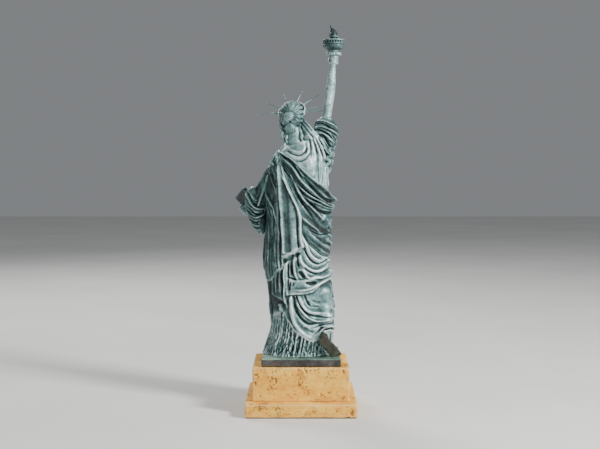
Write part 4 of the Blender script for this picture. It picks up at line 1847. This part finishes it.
# From the big toe: how far across from the middle, how far along, and radius.
TOES = [(5.4, 21.0, 2.4), (2.2, 20.6, 1.8), (-0.6, 19.4, 1.7), (-3.2, 17.8, 1.6), (-5.6, 15.6, 1.5)]


def foot_piece(name, node, place, heading, pitch, inner, material, top=(0, 0, 1)):
    """A sandalled foot that points along a heading and down by a pitch, in degrees.

    inner is +1 where the big toe is on its left side, and top is roughly where its instep faces.
    """
    (hc, hs), (pc, ps) = direction(heading), direction(pitch)
    foot = Local(place, (hc * pc, hs * pc, -ps), top)
    lows, highs = np.array(place) - 40, np.array(place) + 40
    field = Field((lows[0], lows[1], max(lows[2], FOOT_LOW)), highs, 0.6)
    # The sole's heel, ball and waist: the middle and half the length and width.
    for along, half_long, half_wide in ((-13.0, 9.6, 6.9), (9.5, 13.2, 8.3), (-2, 12, 6.4)):
        field.box(foot.at((along, 0, 1.5)), (half_long, half_wide, 1.7), foot.turn, edge=1.0, k=2.0)
    field.ball(foot.at((-14.5, 0, 7.6)), (7.2, 5.8, 6.6), 1.0, turn=foot.turn)
    field.ball(foot.at((7.0, 0, 5.0)), (12, 7.0, 3.6), 2.0, turn=foot.turn)
    a, b, c = foot.at([(-12, 0, 13), (6, 0, 6.4), (-12, 0, 24)])
    field.rod(a, b, 6.2, 4.2, k=3)
    field.rod(a, c, 6.0, 5.6, k=3)
    for y, x, r in TOES:
        root, tip = foot.at([(11, y * inner * 0.92, 5.2), (x - r, y * inner, 4.4)])
        field.rod(root, tip, r, r * 0.95, k=0.5)
    for x, rise in ((9.0, 8.4), (1.0, 10.8)):
        strap = foot.at([
            (x, 7.2, 3.0), (x - 0.5, 5.4, rise - 1.6), (x - 1, 0, rise + 0.6),
            (x - 0.5, -5.4, rise - 1.6), (x, -7.2, 3.0),
        ])
        field.tube(strap, [0.9, 0.9], k=0.5)
    field_piece(name, field, material, replaces=(node,))


foot_piece("foot_right", "right_foot", (-44.5, 45.5, 101.0), -140.0, 46.0, 1, SOLE_BROWN, (0.1, -1, 0.25))
foot_piece("foot_left", "left_foot", (24.0, -34.0, 86.0), -80.0, 0.0, -1, BRONZE)


# ---------------------------------------------------------------- plinth and stone


def rounded_block(node, edge, step):
    """A field with the box of a CAD node in it, its edges rounded."""
    low, high = node_box(node)
    field = Field(low, high, step)
    field.box((low + high) / 2, (high - low) / 2, np.eye(3), edge=edge, k=0.1)
    return field


field = rounded_block("plinth", 1.4, 1.0)
field.roughen(16.0, 0.5, 51)
field.roughen(3.0, 0.25, 52)
field_piece("plinth_plate", field, PLATE, slot="plinth_bronze", replaces=("plinth",))

# Travertine: open pits, and chips along the edges. rare is how seldom pits come.
for name, node, seed, rare in (
    ("stone_block", "base_block", 61, 0.64), ("stone_slab", "base_slab", 71, 0.78),
):
    field = rounded_block(node, 1.0, 1.15)
    pits = solid_cloud(field.axes, 3.1, seed) + 0.7 * solid_cloud(field.axes, 13.0, seed + 1)
    field.f += 1.5 * smooth01((pits - rare) / 0.3)
    field.roughen(9.0, 0.12, seed + 2)
    chips = solid_cloud(field.axes, 5.0, seed + 3)
    low, high = node_box(node)
    x, y, z = [np.minimum(axis - low[k], high[k] - axis) for k, axis in enumerate(field.axes)]
    to_faces = np.broadcast_arrays(x[:, None, None], y[None, :, None], z[None, None, :])
    to_edge = np.sort(np.stack(to_faces), axis=0)[1]
    field.f += 2.2 * smooth01((chips - 0.55) / 0.4) * smooth01(1 - to_edge / 3.2)
    field_piece(name, field, STONE, slot="stone", replaces=(node,))


# ---------------------------------------------------------------- floor, lights, camera


def area_light(name, place, target, size, power):
    """A square lamp that looks at a target; metres and watts."""
    data = bpy.data.lights.new(name, "AREA")
    data.size = size
    data.energy = power
    obj = bpy.data.objects.new(name, data)
    obj.location = place
    x, y, z = np.array(target) - np.array(place)
    obj.rotation_euler = (math.atan2(math.hypot(x, y), -z), 0, math.atan2(x, -y) + math.pi)
    bpy.context.collection.objects.link(obj)


floor_mesh = bpy.data.meshes.new("floor")
floor_mesh.from_pydata([(-6, -6, 0), (6, -6, 0), (6, 6, 0), (-6, 6, 0)], [], [(0, 1, 2, 3)])
floor = bpy.data.objects.new("floor", floor_mesh)
floor_mesh.materials.append(floor_material("floor"))
bpy.context.collection.objects.link(floor)
floor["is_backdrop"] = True

world = bpy.data.worlds.new("studio")
world.use_nodes = True
world.node_tree.nodes["Background"].inputs["Color"].default_value = rgb(214, 218, 222)
world.node_tree.nodes["Background"].inputs["Strength"].default_value = 0.32
bpy.context.scene.world = world

area_light("key", (-1.65, 1.2, 1.45), (0, 0, 0.32), 0.42, 86)
area_light("fill", (1.2, 1.7, 0.8), (0, 0, 0.3), 1.6, 5)
area_light("front_key", (0.9, -1.6, 1.7), (0, 0, 0.32), 0.7, 30)
area_light("top", (0, 0.1, 2.2), (0, 0, 0.3), 1.2, 9)

camera_data = bpy.data.cameras.new("camera")
camera_data.angle = math.radians(CAMERA_FOV)
camera = bpy.data.objects.new("camera", camera_data)
camera.location = (EYE_SIDE * MM, EYE_BACK * MM, CAMERA_UP * MM)
camera.rotation_euler = (math.radians(90 - CAMERA_TILT), 0, math.pi)
bpy.context.collection.objects.link(camera)
bpy.context.scene.camera = camera

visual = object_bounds()
[[list(map(float, corner)) for corner in box] for box in (CAD_BOUNDS, visual)]
